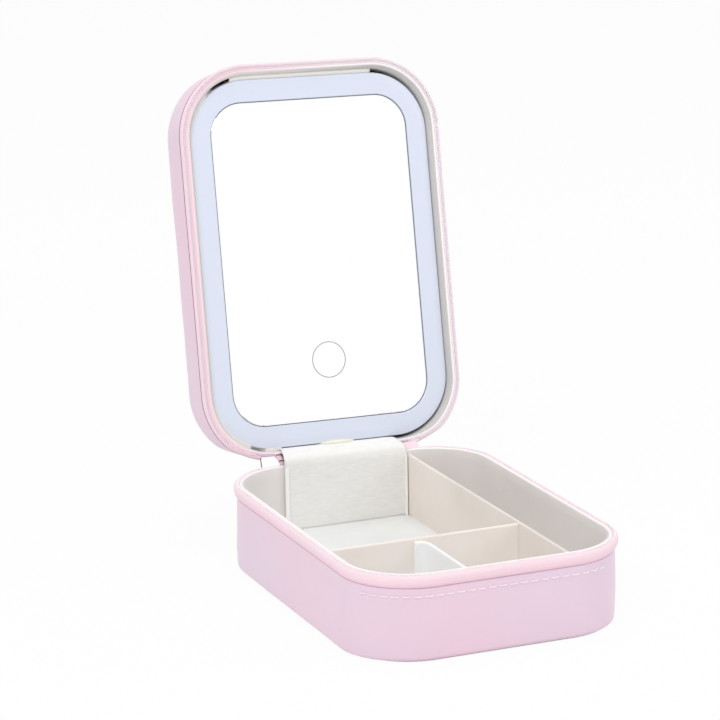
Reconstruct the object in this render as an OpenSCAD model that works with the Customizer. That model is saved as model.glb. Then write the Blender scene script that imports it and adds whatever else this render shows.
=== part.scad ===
/* [Case] */
// Width of the case along its hinge
case_w = 150; // [130:1:180]
// Depth of the case from its back to its front
case_d = 216; // [190:1:250]
// Radius of the upright corners
corner_r = 37; // [28:1:44]
// Height of the base up to the plane where base and lid meet
base_h = 46.6; // [40:0.1:70]
// Height of the lid from that plane to its outer face
lid_h = 29; // [28:0.5:40]
// How far the lid stands open
lid_open = 103; // [80:1:105]

/* [Walls] */
// Thickness of the outer leather skin
skin_t = 0.8; // [0.5:0.1:1.2]
// Thickness of the foam that backs the skin on the walls
wall_foam_t = 0.7; // [0.6:0.1:1.2]
// Thickness of the base's wall board
base_board_t = 1.4; // [1:0.1:2]
// Thickness of the lid's wall board
lid_board_t = 0.8; // [0.6:0.1:1.2]
// Thickness of the base's wall lining
base_lining_t = 0.7; // [0.4:0.1:1.2]
// Thickness of the lid's wall lining
lid_lining_t = 0.4; // [0.3:0.1:0.6]
// Thickness of the glue line between two layers of a wall
glue_t = 0.1; // [0.05:0.01:0.15]
// Thickness of the base's bottom board
bottom_board_t = 2.4; // [1.5:0.1:4]
// Thickness of the lid's top board
top_board_t = 2; // [1.5:0.1:3]
// Thickness of the foam between the lid's board and its skin
top_foam_t = 2.2; // [1:0.1:3]
// Thickness of the padded floor
floor_pad_t = 5.2; // [3:0.1:8]
// Width of the skin that is turned in under the board
turn_in = 9; // [6:0.5:14]
// Rounding of the outer edges
edge_r = 2.2; // [1.8:0.1:3.5]

/* [Zipper] */
// Height of the zipper band that shows above the base's skin
base_band_h = 7.1; // [5:0.1:10]
// Height of the zipper band that shows on the lid
lid_band_h = 8.3; // [5:0.1:10]
// Thickness of the woven tape
tape_t = 0.6; // [0.4:0.1:0.7]
// How far the tape is tucked in behind the skin
tape_tuck = 5.5; // [3:0.5:8]
// How far the tapes lean out at their free edge
tape_flare = 1.6; // [1:0.1:2.4]
// Height of the upright edge of the tape that carries the teeth
tape_edge_h = 2.6; // [2.2:0.1:3.4]
// Distance from one tooth to the next
tooth_pitch = 1.5; // [1.4:0.05:2]
// Width of a tooth along the chain
tooth_w = 0.55; // [0.4:0.05:0.65]
// Thickness of the tooth row
tooth_t = 1.2; // [0.8:0.1:1.4]
// Height of the cord that the teeth stand on
tooth_cord_h = 1.1; // [0.8:0.1:1.6]
// How far the teeth reach over the meeting plane
tooth_reach = 0.45; // [0.2:0.05:0.6]
// How far round the left back corner the tape ends, in degrees before the straight back
left_tape_end = 17; // [10:1:30]
// Length of the stop at the left end of the chain
stop_l = 2.6; // [2:0.1:4]

/* [Edge binding] */
// Height of the binding on the wall's edge
binding_h = 2.4; // [1.6:0.1:4]
// Distance of the binding's outer side from the wall's outer face
binding_in = 1.5; // [1.4:0.1:1.6]
// Distance of the binding below the meeting plane
binding_drop = 0.2; // [0.1:0.05:0.5]

/* [Hinge] */
// Distance of the hinge strip's ends from the ends of the straight back
strip_in = 1.5; // [0.5:0.1:6]
// Distance of the hinge axis behind the back wall
hinge_out = 3.3; // [3:0.1:4]
// Drop of the hinge axis below the meeting plane
hinge_drop = 0.7; // [0.5:0.1:2]
// Slant of the hinge axis along the back, in degrees, which lets the open lid lean to the left
hinge_slant = 1.3; // [0:0.1:1.6]
// Radius of the fold in the outer strip
fold_r = 0.6; // [0.5:0.05:0.8]
// Thickness of the inner flap
flap_t = 0.6; // [0.5:0.1:0.9]

/* [Dividers] */
// Thickness of a divider
divider_t = 2; // [1.5:0.1:3]
// Distance of the long divider from the right end of the straight back
long_beside = 0.6; // [0:0.1:8]
// Distance of the cross divider from the middle, to the front
cross_y = 41.3; // [30:0.1:60]
// Distance of the front divider from the middle, to the left
front_x = 15.8; // [5:0.1:30]
// Drop of the long divider below the meeting plane
long_drop = 2.2; // [1:0.1:10]
// Drop of the cross divider below the meeting plane
cross_drop = 2.8; // [1:0.1:10]
// Drop of the front divider below the meeting plane
front_drop = 4.6; // [1:0.1:10]
// Radius where the front divider runs into the cross divider
root_r = 4; // [2:0.5:6]

/* [Mirror panel] */
// Gap between the panel's long sides and the lid's lining
panel_gap = 0.4; // [0.3:0.1:2]
// Gap between the panel's far end and the lid's lining, which the fabric band fills
far_gap = 2.2; // [1.8:0.1:4]
// Gap between the panel's hinge end and the flap, where the pull tab comes out
tab_gap = 1.1; // [1.1:0.1:2]
// Depth of the panel's face below the lid's edge
panel_recess = 4.2; // [3.6:0.1:6]
// Width of the light frame beside the mirror
light_w = 11.9; // [8:0.1:20]
// Width of the light frame at the mirror's ends
light_end_w = 12.4; // [8:0.1:20]
// Corner radius of the mirror
mirror_r = 19; // [12:0.5:26]
// Thickness of the mirror and of the light frame
glass_t = 2; // [1.6:0.1:3]
// Gap between the mirror and the light frame
glass_gap = 0.15; // [0.1:0.05:0.4]
// Depth of the panel's housing behind the glass
housing_h = 8; // [7:0.1:10]
// Wall of the housing
housing_t = 1.5; // [1:0.1:2]
// Radius of the touch ring
touch_r = 10.2; // [6:0.1:14]
// Width of the touch ring's line
touch_line = 0.7; // [0.4:0.1:1.5]
// Distance of the touch ring from the panel's lower edge
touch_up = 46.5; // [35:0.5:60]
// Width of the foam rests that carry the panel
rest_w = 7; // [5:0.5:10]
// Thickness of the fabric band at the panel's far end
band_t = 0.6; // [0.4:0.1:0.8]
// Width of the pull tab
tab_w = 20; // [12:0.5:30]
// Distance that the pull tab stands out from the panel's face
tab_out = 3.2; // [1:0.1:4]

/* [Slider] */
// Length of the slider along the chain
slider_l = 9; // [7:0.1:9.5]
// Width of the slider across the chain
slider_w = 7.4; // [6:0.1:7.6]
// Thickness of one slider plate
slider_plate = 0.8; // [0.6:0.05:0.9]
// Length of the puller
puller_l = 27; // [20:0.5:30]
// Width of the puller
puller_w = 6.5; // [5:0.1:8]

/* [Hidden] */
$fn = 96;

leather = [0.91, 0.81, 0.88];
band_pink = [0.97, 0.80, 0.87];
ivory = [0.91, 0.88, 0.83];
card = [0.72, 0.62, 0.50];

// Small fits: a seat between fixed pieces, and the round of a bearing
seat = 0.1;
bearing = 0.07;

// Stack of the walls, measured inwards from the outer face
cover_in = skin_t + wall_foam_t;
board_in = cover_in + glue_t;
base_lining_in = board_in + base_board_t + glue_t;
base_inner = base_lining_in + base_lining_t;
lid_lining_in = board_in + lid_board_t + glue_t;
lid_inner = lid_lining_in + lid_lining_t;
tape_in = skin_t + glue_t;

// Stack of the base, measured upwards
flange_z = skin_t;
board_z = 2 * skin_t;
board_top = board_z + bottom_board_t;
floor_z = board_top + floor_pad_t;
base_edge_z = base_h - binding_drop - binding_h;
base_seam = base_h - base_band_h;

// The lid is drawn upside up over z = 0, from its meeting plane to its top
lid_seam = lid_band_h;
lid_flange_z = lid_h - skin_t;
lid_board_top = lid_flange_z - top_foam_t;
lid_board_low = lid_board_top - top_board_t;
lid_floor = lid_board_low - lid_lining_t;
lid_edge_z = binding_drop + binding_h;

// The tooth row stands against the inner side of the tape's free edge
tooth_root = 0.3;
cord_drop = tooth_reach + tooth_root;
cord_low = -cord_drop - tooth_cord_h;
tape_top_drop = 0.6;
tooth_out = tape_flare - tape_t - 0.05;
stop_angle = stop_l / corner_r * 180 / PI;
strip_tuck = tape_tuck - 1.5;
plate_in = edge_r + 0.6;
filler_in = turn_in + 0.2;

// The straight part of the back, and the inner space
straight_x = case_w / 2 - corner_r;
corner_y = case_d / 2 - corner_r;
axis_y = case_d / 2 + hinge_out;
axis_z = base_h - hinge_drop;
hinge_w = 2 * (straight_x - strip_in);
strip_rise = hinge_w / 2 * sin(hinge_slant);
slider_gap = 2;
right_tape_end = asin((slider_l + slider_gap + 1 - strip_in) / corner_r);
long_x = straight_x + long_beside;

// The slider on the chain's right end, and the bridge that its puller hangs from
slider_x = hinge_w / 2 + slider_gap + slider_l / 2;
channel = 1.3;
plate_r = 1.6;
bridge_r = 0.45;
bridge_l = 6;
foot_t = 0.8;
foot_w = 2.2;
eye_r = bridge_r + bearing;
eye_wall = 0.75;
eye_l = 3.6;
bridge_out = channel / 2 + slider_plate + eye_r + eye_wall + 0.2;
puller_t = 1.1;
puller_r = 2.4;
neck_w = 2.8;
neck_l = 5;
puller_hole_r = 1.4;

// The mirror panel
panel_w = case_w - 2 * (lid_inner + seat + panel_gap);
panel_near = case_d / 2 - lid_inner - seat - flap_t - tab_gap;
panel_far = case_d / 2 - lid_inner - far_gap;
panel_l = panel_near + panel_far;
panel_shift = (panel_near - panel_far) / 2;
panel_r = corner_r - lid_inner - seat - panel_gap;
mirror_w = panel_w - 2 * light_w;
mirror_l = panel_l - 2 * light_end_w;
panel_back = panel_recess + glass_t;
housing_back = panel_back + housing_h;
touch_y = panel_l / 2 - touch_up;
carrier_t = 1.2;
print_t = 0.2;
print_fit = 0.02;
carrier_back = panel_back + carrier_t;
// A screw post on one side and the circuit board on the other leave the battery this much less than
// half the panel's width.
battery_room = 23.6;
battery_size = [panel_w / 2 - battery_room, 34, 3.4];
circuit_size = [34, 24, 1];
circuit_low = housing_back - housing_t - circuit_size[2];
circuit_y = panel_near - housing_t - 0.9 - circuit_size[1] / 2;
chip_size = [5, 5, 1];
socket_size = [9, 7.4, 3.2];
socket_x = 0.155 * panel_w;
strip_t = 0.4;
lamp_count = 17;
lamp_size = [1.2, 3.5, 2.8];
screw_spots = [for (x = [-1, 1]) for (y = [-1, 0, 1])
  [x * (panel_w / 2 - 16), y * (panel_l / 2 - 26) + panel_shift]];
post_r = 2.6;
screw_r = 1;
head_r = 1.9;
head_t = 0.75;
head_depth = 1;
magnet_r = 4;
magnet_t = 2;
magnet_spots = [for (x = [-1, 1]) for (y = [-1, 1])
  [x * (panel_w / 2 - housing_t - magnet_r - 2.3), y * panel_l * 0.185 + panel_shift]];
ribbon_t = 0.45;

// Rounded rectangle, centred, with its corners as true arcs
module plate_outline(w, d, r) {
  square([w - 2 * r, d], center = true);
  square([w, d - 2 * r], center = true);
  for (x = [-1, 1]) {
    for (y = [-1, 1]) {
      translate([x * (w / 2 - r), y * (d / 2 - r)]) circle(r = r);
    }
  }
}

// Plate in the case's outline, drawn in by a distance
module case_plate(inset, low, high) {
  translate([0, 0, low])
    linear_extrude(high - low)
      plate_outline(case_w - 2 * inset, case_d - 2 * inset, corner_r - inset);
}

// Plate in the panel's outline, drawn in by a distance
module panel_plate(inset, low, high) {
  translate([0, panel_shift, low])
    linear_extrude(high - low)
      plate_outline(panel_w - 2 * inset, panel_l - 2 * inset, panel_r - inset);
}

// Upright wall of constant section between two insets
module case_wall(outer, inner, low, high) {
  difference() {
    case_plate(outer, low, high);
    case_plate(inner, low - 1, high + 1);
  }
}

// Carries a profile (outwards, upwards) along one straight side; 0 is the right, 1 the back
module along_side(side) {
  across = side % 2 == 0 ? case_w / 2 : case_d / 2;
  run = side % 2 == 0 ? corner_y : straight_x;
  rotate([0, 0, 90 * side])
    translate([across, run, 0])
      rotate([90, 0, 0]) linear_extrude(2 * run) children();
}

// Carries a profile round one corner; 0 is the back right, 1 the back left, and so on
module round_corner(corner, from = 0, to = 90) {
  x = corner == 0 || corner == 3 ? straight_x : -straight_x;
  y = corner < 2 ? corner_y : -corner_y;
  translate([x, y, 0])
    rotate([0, 0, 90 * corner + from])
      rotate_extrude(angle = to - from) translate([corner_r, 0]) children();
}

// Carries a profile all the way round
module round_case() {
  for (k = [0:3]) {
    along_side(k) children();
    round_corner(k) children();
  }
}

// Carries a profile round the part that the zipper opens, from a place on the left back corner
module round_zipper(left_end = left_tape_end) {
  far = 2 * corner_r;
  difference() {
    round_case() children();
    linear_extrude(4 * (base_h + lid_h), center = true)
      polygon([
        [-straight_x, corner_y],
        [-straight_x - far * sin(left_end), corner_y + far * cos(left_end)],
        [straight_x + far * sin(right_tape_end), corner_y + far * cos(right_tape_end)],
        [straight_x, corner_y]
      ]);
  }
}

// Puts a piece that is drawn round the X axis on the slanted hinge axis
module on_hinge_axis() {
  translate([0, axis_y, axis_z]) rotate([0, hinge_slant, 0]) children();
}

// Puts a lid piece, drawn closed over z = 0, on the base, opened by lid_open
module in_lid() {
  on_hinge_axis()
    rotate([-lid_open, 0, 0])
      rotate([0, -hinge_slant, 0]) translate([0, -axis_y, hinge_drop]) children();
}

// Section of a side skin: rounded outer edge at the bottom, turned in under the board,
// with a pocket for the tape behind its free edge. Low end at z = 0
module skin_section(height) {
  difference() {
    union() {
      translate([-cover_in, edge_r]) square([cover_in, height - edge_r]);
      translate([-edge_r, edge_r]) circle(r = edge_r);
      translate([-turn_in, 0]) square([turn_in - edge_r, skin_t]);
    }
    translate([-turn_in - 1, skin_t]) square([turn_in + 1 - cover_in, 2 * edge_r]);
    translate([-cover_in - 1, height - tape_tuck - glue_t])
      square([cover_in + 1 - skin_t, tape_tuck + 1]);
  }
}

// Section of a tape: tucked behind the skin, leaning out, then upright where the teeth stand
module tape_section(seam, top) {
  polygon([
    [-tape_in - tape_t, seam - tape_tuck], [-tape_in, seam - tape_tuck], [-tape_in, seam],
    [tape_flare, top - tape_edge_h], [tape_flare, top], [tape_flare - tape_t, top],
    [tape_flare - tape_t, top - tape_edge_h], [-tape_in - tape_t, seam + tape_t]
  ]);
}

// Section of the bound edge: flat sides and a round top
module binding_section(inner, low) {
  width = inner - binding_in;
  round_r = width / 2;
  translate([-inner, low]) square([width, binding_h - round_r]);
  translate([-inner + round_r, low + binding_h - round_r]) circle(r = round_r);
}

// One tooth, seen from above, at a place along the chain
module tooth() {
  translate([tooth_out - tooth_t, -tooth_w / 2]) square([tooth_t, tooth_w]);
}

// All teeth seen from above, moved on by a share of a pitch
module teeth_plan(phase) {
  side_n = floor(2 * corner_y / tooth_pitch);
  front_n = floor(2 * straight_x / tooth_pitch);
  arc_step = tooth_pitch / corner_r * 180 / PI;
  arc_n = floor(90 / arc_step);
  for (side = [0, 2, 3]) {
    n = side == 3 ? front_n : side_n;
    across = side == 3 ? case_d / 2 : case_w / 2;
    rotate([0, 0, 90 * side]) {
      for (i = [0:n - 1]) {
        translate([across, (i - (n - 1) / 2 + phase) * tooth_pitch]) tooth();
      }
    }
  }
  for (corner = [0:3]) {
    x = corner == 0 || corner == 3 ? straight_x : -straight_x;
    y = corner < 2 ? corner_y : -corner_y;
    first = corner == 1 ? left_tape_end + stop_angle : 0;
    last = corner == 0 ? 90 - right_tape_end : 90;
    for (i = [1:arc_n - 1]) {
      angle = (i + phase) * 90 / arc_n;
      if (angle > first + 1 && angle < last - 1) {
        translate([x, y]) rotate([0, 0, 90 * corner + angle]) translate([corner_r, 0]) tooth();
      }
    }
  }
}

// Tooth row that points up from a cord, with the meeting plane at z = 0
module tooth_row(phase) {
  round_zipper(left_tape_end + stop_angle) {
    translate([tooth_out - tooth_t, cord_low]) square([tooth_t, tooth_cord_h]);
  }
  translate([0, 0, -cord_drop - tooth_root])
    linear_extrude(tooth_root + cord_drop + tooth_reach) teeth_plan(phase);
}

module base_bottom_cover() {
  color(leather) case_plate(plate_in, 0, skin_t);
}

// Card that levels the step inside the turned-in skin
module base_bottom_filler() {
  color(card) case_plate(filler_in, flange_z, board_z);
}

module base_cover() {
  color(leather)
    translate([0, 0, flange_z]) round_case() skin_section(base_seam - flange_z);
}

module base_bottom_board() {
  color(card) case_plate(board_in + base_board_t + glue_t, board_z, board_top);
}

module base_wall_board() {
  color(card) case_wall(board_in, board_in + base_board_t, board_z, base_edge_z);
}

module base_lining() {
  color(ivory) case_wall(base_lining_in, base_inner, board_top, base_edge_z);
}

module base_floor_pad() {
  color([0.86, 0.86, 0.84]) case_plate(base_inner + glue_t, board_top, floor_z);
}

module base_rim_binding() {
  color([0.95, 0.93, 0.88]) round_case() binding_section(base_inner + seat, base_edge_z);
}

module base_zipper_tape() {
  color(band_pink) round_zipper() tape_section(base_seam, base_h - tape_top_drop);
}

module base_zipper_teeth() {
  color(band_pink) translate([0, 0, base_h]) tooth_row(0);
}

// Stop at the left end of the base's tooth row
module zipper_end_stop() {
  color([0.93, 0.78, 0.84])
    round_corner(1, left_tape_end + 0.2, left_tape_end + stop_angle)
      translate([tooth_out - tooth_t, base_h + cord_low])
        square([tooth_t, tooth_cord_h + cord_drop]);
}

// Half the inner depth of the base at a distance from the middle, clear of the wall's edge
function inner_y(x) =
  let (r = corner_r - base_inner - seat, over = max(0, x - straight_x))
    corner_y + sqrt(r * r - over * over);

// The dividers stand on the floor pad and meet each other and the walls face to face
module long_divider() {
  y = inner_y(long_x + divider_t / 2);
  color(ivory)
    translate([long_x - divider_t / 2, -y, floor_z])
      cube([divider_t, 2 * y, base_h - long_drop - floor_z]);
}

module cross_divider() {
  left = -case_w / 2 + base_inner + seat;
  color(ivory)
    translate([left, -cross_y - divider_t / 2, floor_z])
      cube([long_x - divider_t / 2 - left, divider_t, base_h - cross_drop - floor_z]);
}

module front_divider() {
  front = -inner_y(front_x + divider_t / 2);
  back = -cross_y - divider_t / 2;
  side = -front_x - divider_t / 2;
  color([0.88, 0.89, 0.92])
    translate([0, 0, floor_z])
      linear_extrude(base_h - front_drop - floor_z) {
        translate([side, front]) square([divider_t, back - front]);
        difference() {
          translate([side - root_r, back - root_r]) square([root_r, root_r]);
          translate([side - root_r, back - root_r]) circle(r = root_r);
        }
      }
}

// Section of one half of the outer strip, from its tuck behind a skin up to the fold at the origin.
// It leans out only above the skin's edge, also at the end that the hinge's slant lowers
module strip_section(seam) {
  free = seam + strip_rise + 0.1;
  polygon([
    [-hinge_out - tape_in - tape_t, seam - strip_tuck], [-hinge_out - tape_in, seam - strip_tuck],
    [-hinge_out - tape_in, free], [tape_t / 2, -tape_t / 4], [-tape_t / 2, tape_t / 4],
    [-hinge_out - tape_in - tape_t, free + tape_t]
  ]);
}

// Draws a section (outwards, upwards) along the X axis, over the strip's width
module over_strip() {
  translate([hinge_w / 2, 0, 0])
    rotate([90, 0, -90]) mirror([1, 0, 0]) linear_extrude(hinge_w) children();
}

module hinge_strip_base() {
  color(leather)
    on_hinge_axis()
      over_strip() {
        strip_section(base_seam - axis_z);
        circle(r = fold_r);
      }
}

module hinge_strip_lid() {
  color(leather)
    on_hinge_axis()
      rotate([-lid_open, 0, 0])
        mirror([0, 0, 1])
          over_strip()
            difference() {
              strip_section(-lid_seam - hinge_drop);
              circle(r = fold_r + 0.12);
            }
}

module hinge_flap_wall() {
  color(ivory)
    translate([-hinge_w / 2, case_d / 2 - base_inner - seat - flap_t, floor_z])
      cube([hinge_w, flap_t, base_h - binding_drop - floor_z]);
}

module hinge_flap_lid() {
  color(ivory)
    in_lid()
      translate([-hinge_w / 2, case_d / 2 - lid_inner - seat - flap_t, binding_drop])
        cube([hinge_w, flap_t, housing_back - binding_drop]);
}

// The free span of the flap, drawn tight from the base's edge to the open lid's edge
module hinge_flap_span() {
  from_y = case_d / 2 - base_inner - seat - flap_t / 2;
  from_z = base_h - binding_drop;
  lid_y = -hinge_out - lid_inner - seat - flap_t / 2;
  lid_z = hinge_drop + binding_drop;
  to_y = axis_y + lid_y * cos(lid_open) + lid_z * sin(lid_open);
  to_z = axis_z - lid_y * sin(lid_open) + lid_z * cos(lid_open);
  rise = atan2(to_z - from_z, to_y - from_y);
  reach = sqrt(pow(to_z - from_z, 2) + pow(to_y - from_y, 2));
  color(ivory)
    translate([-hinge_w / 2, from_y, from_z])
      rotate([rise, 0, 0])
        translate([0, 0.3, 0.05]) cube([hinge_w, reach - 2.4, flap_t]);
}

// The slider hangs on the chain's end, in line with the fold, half way between base and lid
module at_slider() {
  on_hinge_axis()
    translate([slider_x, 0, 0]) rotate([-lid_open / 2, 0, 0]) children();
}

// Slider drawn with the chain along X, its outer face towards +Y
module zipper_slider() {
  rail_w = 0.7;
  rail_in = 1.6;
  sunk = 0.2;
  color([0.86, 0.78, 0.70]) {
    at_slider() {
      for (side = [-1, 1]) {
        translate([0, side * (channel + slider_plate) / 2, 0])
          rotate([90, 0, 0])
            linear_extrude(slider_plate, center = true)
              plate_outline(slider_l, slider_w, plate_r);
        translate([0, 0, side * (slider_w / 2 - rail_w)])
          cube([slider_l - 2 * rail_in, channel + 2 * sunk, rail_w], center = true);
        translate([side * (bridge_l / 2 - foot_t / 2), (bridge_out + channel / 2 + slider_plate) / 2, 0])
          cube([foot_t, bridge_out - channel / 2 - slider_plate + 2 * sunk, foot_w], center = true);
      }
      translate([slider_l / 2 - rail_in - sunk, 0, 0])
        rotate([90, 0, 0]) cylinder(r = 1.1, h = channel + 2 * sunk, center = true);
      translate([-bridge_l / 2, bridge_out, 0])
        rotate([0, 90, 0]) cylinder(r = bridge_r, h = bridge_l);
    }
    on_hinge_axis()
      translate([hinge_w / 2, 0, 0])
        rotate([0, 90, 0]) cylinder(r = 0.5, h = slider_gap + slider_l - 0.6);
  }
}

// Puller that hangs from the slider's bridge: an eye round the bridge, a neck and a flat tab
module zipper_puller() {
  color([0.86, 0.78, 0.70])
    on_hinge_axis()
      translate([
        slider_x, bridge_out * cos(lid_open / 2), -bridge_out * sin(lid_open / 2)
      ]) {
      rotate([0, 90, 0])
        difference() {
          cylinder(r = eye_r + eye_wall, h = eye_l, center = true);
          cylinder(r = eye_r, h = eye_l + 1, center = true);
        }
      translate([0, 0, -eye_r])
        rotate([90, 0, 0])
          linear_extrude(puller_t, center = true)
            difference() {
              union() {
                translate([-neck_w / 2, -neck_l]) square([neck_w, neck_l - eye_wall / 2]);
                translate([0, -puller_l / 2 - neck_l + 3])
                  plate_outline(puller_w, puller_l - 4, puller_r);
              }
              translate([0, 3 * puller_hole_r - puller_l]) circle(r = puller_hole_r);
            }
    }
}

module lid_cover() {
  color(leather)
    in_lid()
      translate([0, 0, lid_flange_z])
        mirror([0, 0, 1]) round_case() skin_section(lid_flange_z - lid_seam);
}

module lid_top_cover() {
  color(leather) in_lid() case_plate(plate_in, lid_flange_z, lid_h);
}

module lid_top_foam() {
  color([0.93, 0.93, 0.91])
    in_lid() {
      case_plate(board_in + lid_board_t + glue_t, lid_board_top, lid_flange_z - skin_t);
      case_plate(filler_in, lid_board_top, lid_flange_z);
    }
}

module lid_top_board() {
  color(card) in_lid() case_plate(board_in + lid_board_t + glue_t, lid_board_low, lid_board_top);
}

module lid_wall_board() {
  color(card)
    in_lid() case_wall(board_in, board_in + lid_board_t, lid_edge_z, lid_flange_z - skin_t);
}

module lid_lining() {
  color(ivory) in_lid() case_wall(lid_lining_in, lid_inner, lid_edge_z, lid_floor);
}

module lid_top_lining() {
  color(ivory) in_lid() case_plate(lid_lining_in, lid_floor, lid_board_low);
}

module lid_rim_binding() {
  color([0.95, 0.93, 0.88])
    in_lid()
      translate([0, 0, lid_edge_z])
        mirror([0, 0, 1]) round_case() binding_section(lid_inner + seat, 0);
}

module lid_zipper_tape() {
  color(band_pink)
    in_lid()
      mirror([0, 0, 1]) round_zipper() tape_section(-lid_seam, -tape_top_drop);
}

module lid_zipper_teeth() {
  color(band_pink) in_lid() mirror([0, 0, 1]) tooth_row(0.5);
}

// Foam ledges on the long walls and the hinge wall that the panel lies on
module mirror_rests() {
  rest_h = lid_floor - housing_back;
  rest_z = housing_back + rest_h / 2;
  end_in = 4;
  color(ivory)
    in_lid() {
      for (side = [-1, 1]) {
        translate([side * (case_w / 2 - lid_inner - seat - rest_w / 2), 0, rest_z])
          cube([rest_w, 2 * (corner_y - end_in), rest_h], center = true);
      }
      translate([0, case_d / 2 - lid_inner - seat - flap_t - 3 * seat - rest_w / 2, rest_z])
        cube([hinge_w - 2 * end_in, rest_w, rest_h], center = true);
    }
}

// Moulded tray with its screw posts, and slots for the socket
module mirror_housing() {
  color([0.94, 0.94, 0.93])
    in_lid()
      difference() {
        union() {
          difference() {
            panel_plate(0, panel_back, housing_back);
            panel_plate(housing_t, panel_back - 1, housing_back - housing_t);
          }
          for (spot = screw_spots) {
            translate([spot[0], spot[1], carrier_back])
              cylinder(r = post_r, h = housing_back - housing_t / 2 - carrier_back);
          }
        }
        for (spot = screw_spots) {
          translate([spot[0], spot[1], panel_back]) cylinder(r = screw_r + bearing, h = housing_h + 1);
          translate([spot[0], spot[1], housing_back - head_depth])
            cylinder(r = head_r + seat, h = 2 * head_depth);
        }
        translate([socket_x, panel_near, circuit_low - socket_size[2] / 2])
          cube([socket_size[0] + 4 * seat, 6 * housing_t, socket_size[2] + 4 * seat], center = true);
      }
}

module light_frame() {
  color([0.87, 0.89, 0.96])
    in_lid()
      difference() {
        panel_plate(0, panel_recess, panel_back);
        translate([0, panel_shift, panel_recess - 1])
          linear_extrude(glass_t + 2) plate_outline(mirror_w, mirror_l, mirror_r);
      }
}

module mirror_glass() {
  color([0.93, 0.95, 0.97])
    in_lid()
      difference() {
        translate([0, panel_shift, panel_recess])
          linear_extrude(glass_t)
            plate_outline(mirror_w - 2 * glass_gap, mirror_l - 2 * glass_gap, mirror_r - glass_gap);
        translate([0, touch_y + panel_shift, panel_recess - 1])
          difference() {
            cylinder(r = touch_r, h = 1 + print_t);
            translate([0, 0, -1]) cylinder(r = touch_r - touch_line, h = 4);
          }
      }
}

// Printed ring that shows where to touch
module touch_ring() {
  color([0.62, 0.64, 0.68])
    in_lid()
      translate([0, touch_y + panel_shift, panel_recess])
        difference() {
          cylinder(r = touch_r - print_fit, h = print_t);
          translate([0, 0, -1]) cylinder(r = touch_r - touch_line + print_fit, h = 4);
        }
}

// Sheet that backs the mirror and takes the housing's screws
module mirror_carrier() {
  color([0.85, 0.85, 0.86])
    in_lid()
      difference() {
        panel_plate(light_w - 3, panel_back, carrier_back);
        for (spot = screw_spots) {
          translate([spot[0], spot[1], panel_back - 1])
            cylinder(r = screw_r + bearing, h = carrier_t + 2);
        }
      }
}

// Flexible strip inside the housing's wall, with a lamp every few centimetres. It ends on both sides
// of the charging socket
module led_strip() {
  inset = housing_t + seat;
  low = carrier_back;
  high = housing_back - housing_t - 0.5;
  middle = (low + high) / 2;
  step = (panel_l - 2 * panel_r) / lamp_count;
  color([0.95, 0.94, 0.80])
    in_lid() {
      difference() {
        panel_plate(inset, low, high);
        panel_plate(inset + strip_t, low - 1, high + 1);
        translate([socket_x, panel_near, middle])
          cube([socket_size[0] + 3, 6 * housing_t, high - low + 1], center = true);
      }
      for (i = [0:lamp_count - 1]) {
        for (side = [-1, 1]) {
          x = side * (panel_w / 2 - inset - strip_t - lamp_size[0] / 4);
          y = (i - (lamp_count - 1) / 2) * step + panel_shift;
          translate([x, y, middle]) cube(lamp_size, center = true);
        }
      }
    }
}

// Circuit board with its touch chip and driver
module control_board() {
  color([0.10, 0.42, 0.26])
    in_lid() {
      translate([socket_x, circuit_y, circuit_low + circuit_size[2] / 2])
        cube(circuit_size, center = true);
      for (side = [-1, 1]) {
        translate([socket_x + side * circuit_size[0] / 4, circuit_y - chip_size[1], circuit_low - 0.4])
          cube(chip_size, center = true);
      }
    }
}

// Shell of the charging socket, open towards the panel's edge
module charging_socket() {
  shell_t = 0.4;
  color([0.75, 0.75, 0.77])
    in_lid()
      translate([socket_x, panel_near - 0.4 - socket_size[1] / 2, circuit_low - socket_size[2] / 2])
        difference() {
          cube(socket_size, center = true);
          translate([0, 1, 0])
            cube([socket_size[0] - 2 * shell_t, socket_size[1], socket_size[2] - 2 * shell_t],
              center = true);
        }
}

module battery() {
  beside = socket_x - circuit_size[0] / 2 - 4 - battery_size[0];
  color([0.80, 0.82, 0.84])
    in_lid()
      translate([beside, panel_near - 6 - battery_size[1], housing_back - housing_t - battery_size[2]])
        cube(battery_size);
}

// Sensing pad behind the touch ring
module touch_sensor() {
  color([0.80, 0.55, 0.35])
    in_lid()
      translate([0, touch_y + panel_shift, carrier_back]) cylinder(r = touch_r - 2, h = strip_t);
}

module housing_screws() {
  color([0.70, 0.70, 0.72])
    in_lid()
      for (spot = screw_spots) {
        translate([spot[0], spot[1], panel_back + 2 * seat])
          cylinder(r = screw_r, h = housing_back - head_depth - panel_back);
        translate([spot[0], spot[1], housing_back - head_depth]) cylinder(r = head_r, h = head_t);
      }
}

// Fabric band, folded over, that joins the panel's far end to the lid's front wall
module mirror_hinge_strip() {
  fold_out = (far_gap - 0.2) / 2;
  fold_z = panel_recess + fold_out - 0.5;
  band_w = panel_w - 2 * panel_r;
  color(ivory)
    in_lid()
      translate([-band_w / 2, -panel_far - far_gap / 2, fold_z])
        rotate([90, 0, 90])
          linear_extrude(band_w)
            difference() {
              union() {
                circle(r = fold_out);
                translate([-fold_out, 0]) square([2 * fold_out, housing_back - 1 - fold_z]);
              }
              circle(r = fold_out - band_t);
              translate([band_t - fold_out, 0])
                square([2 * (fold_out - band_t), housing_back - fold_z]);
            }
}

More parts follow.
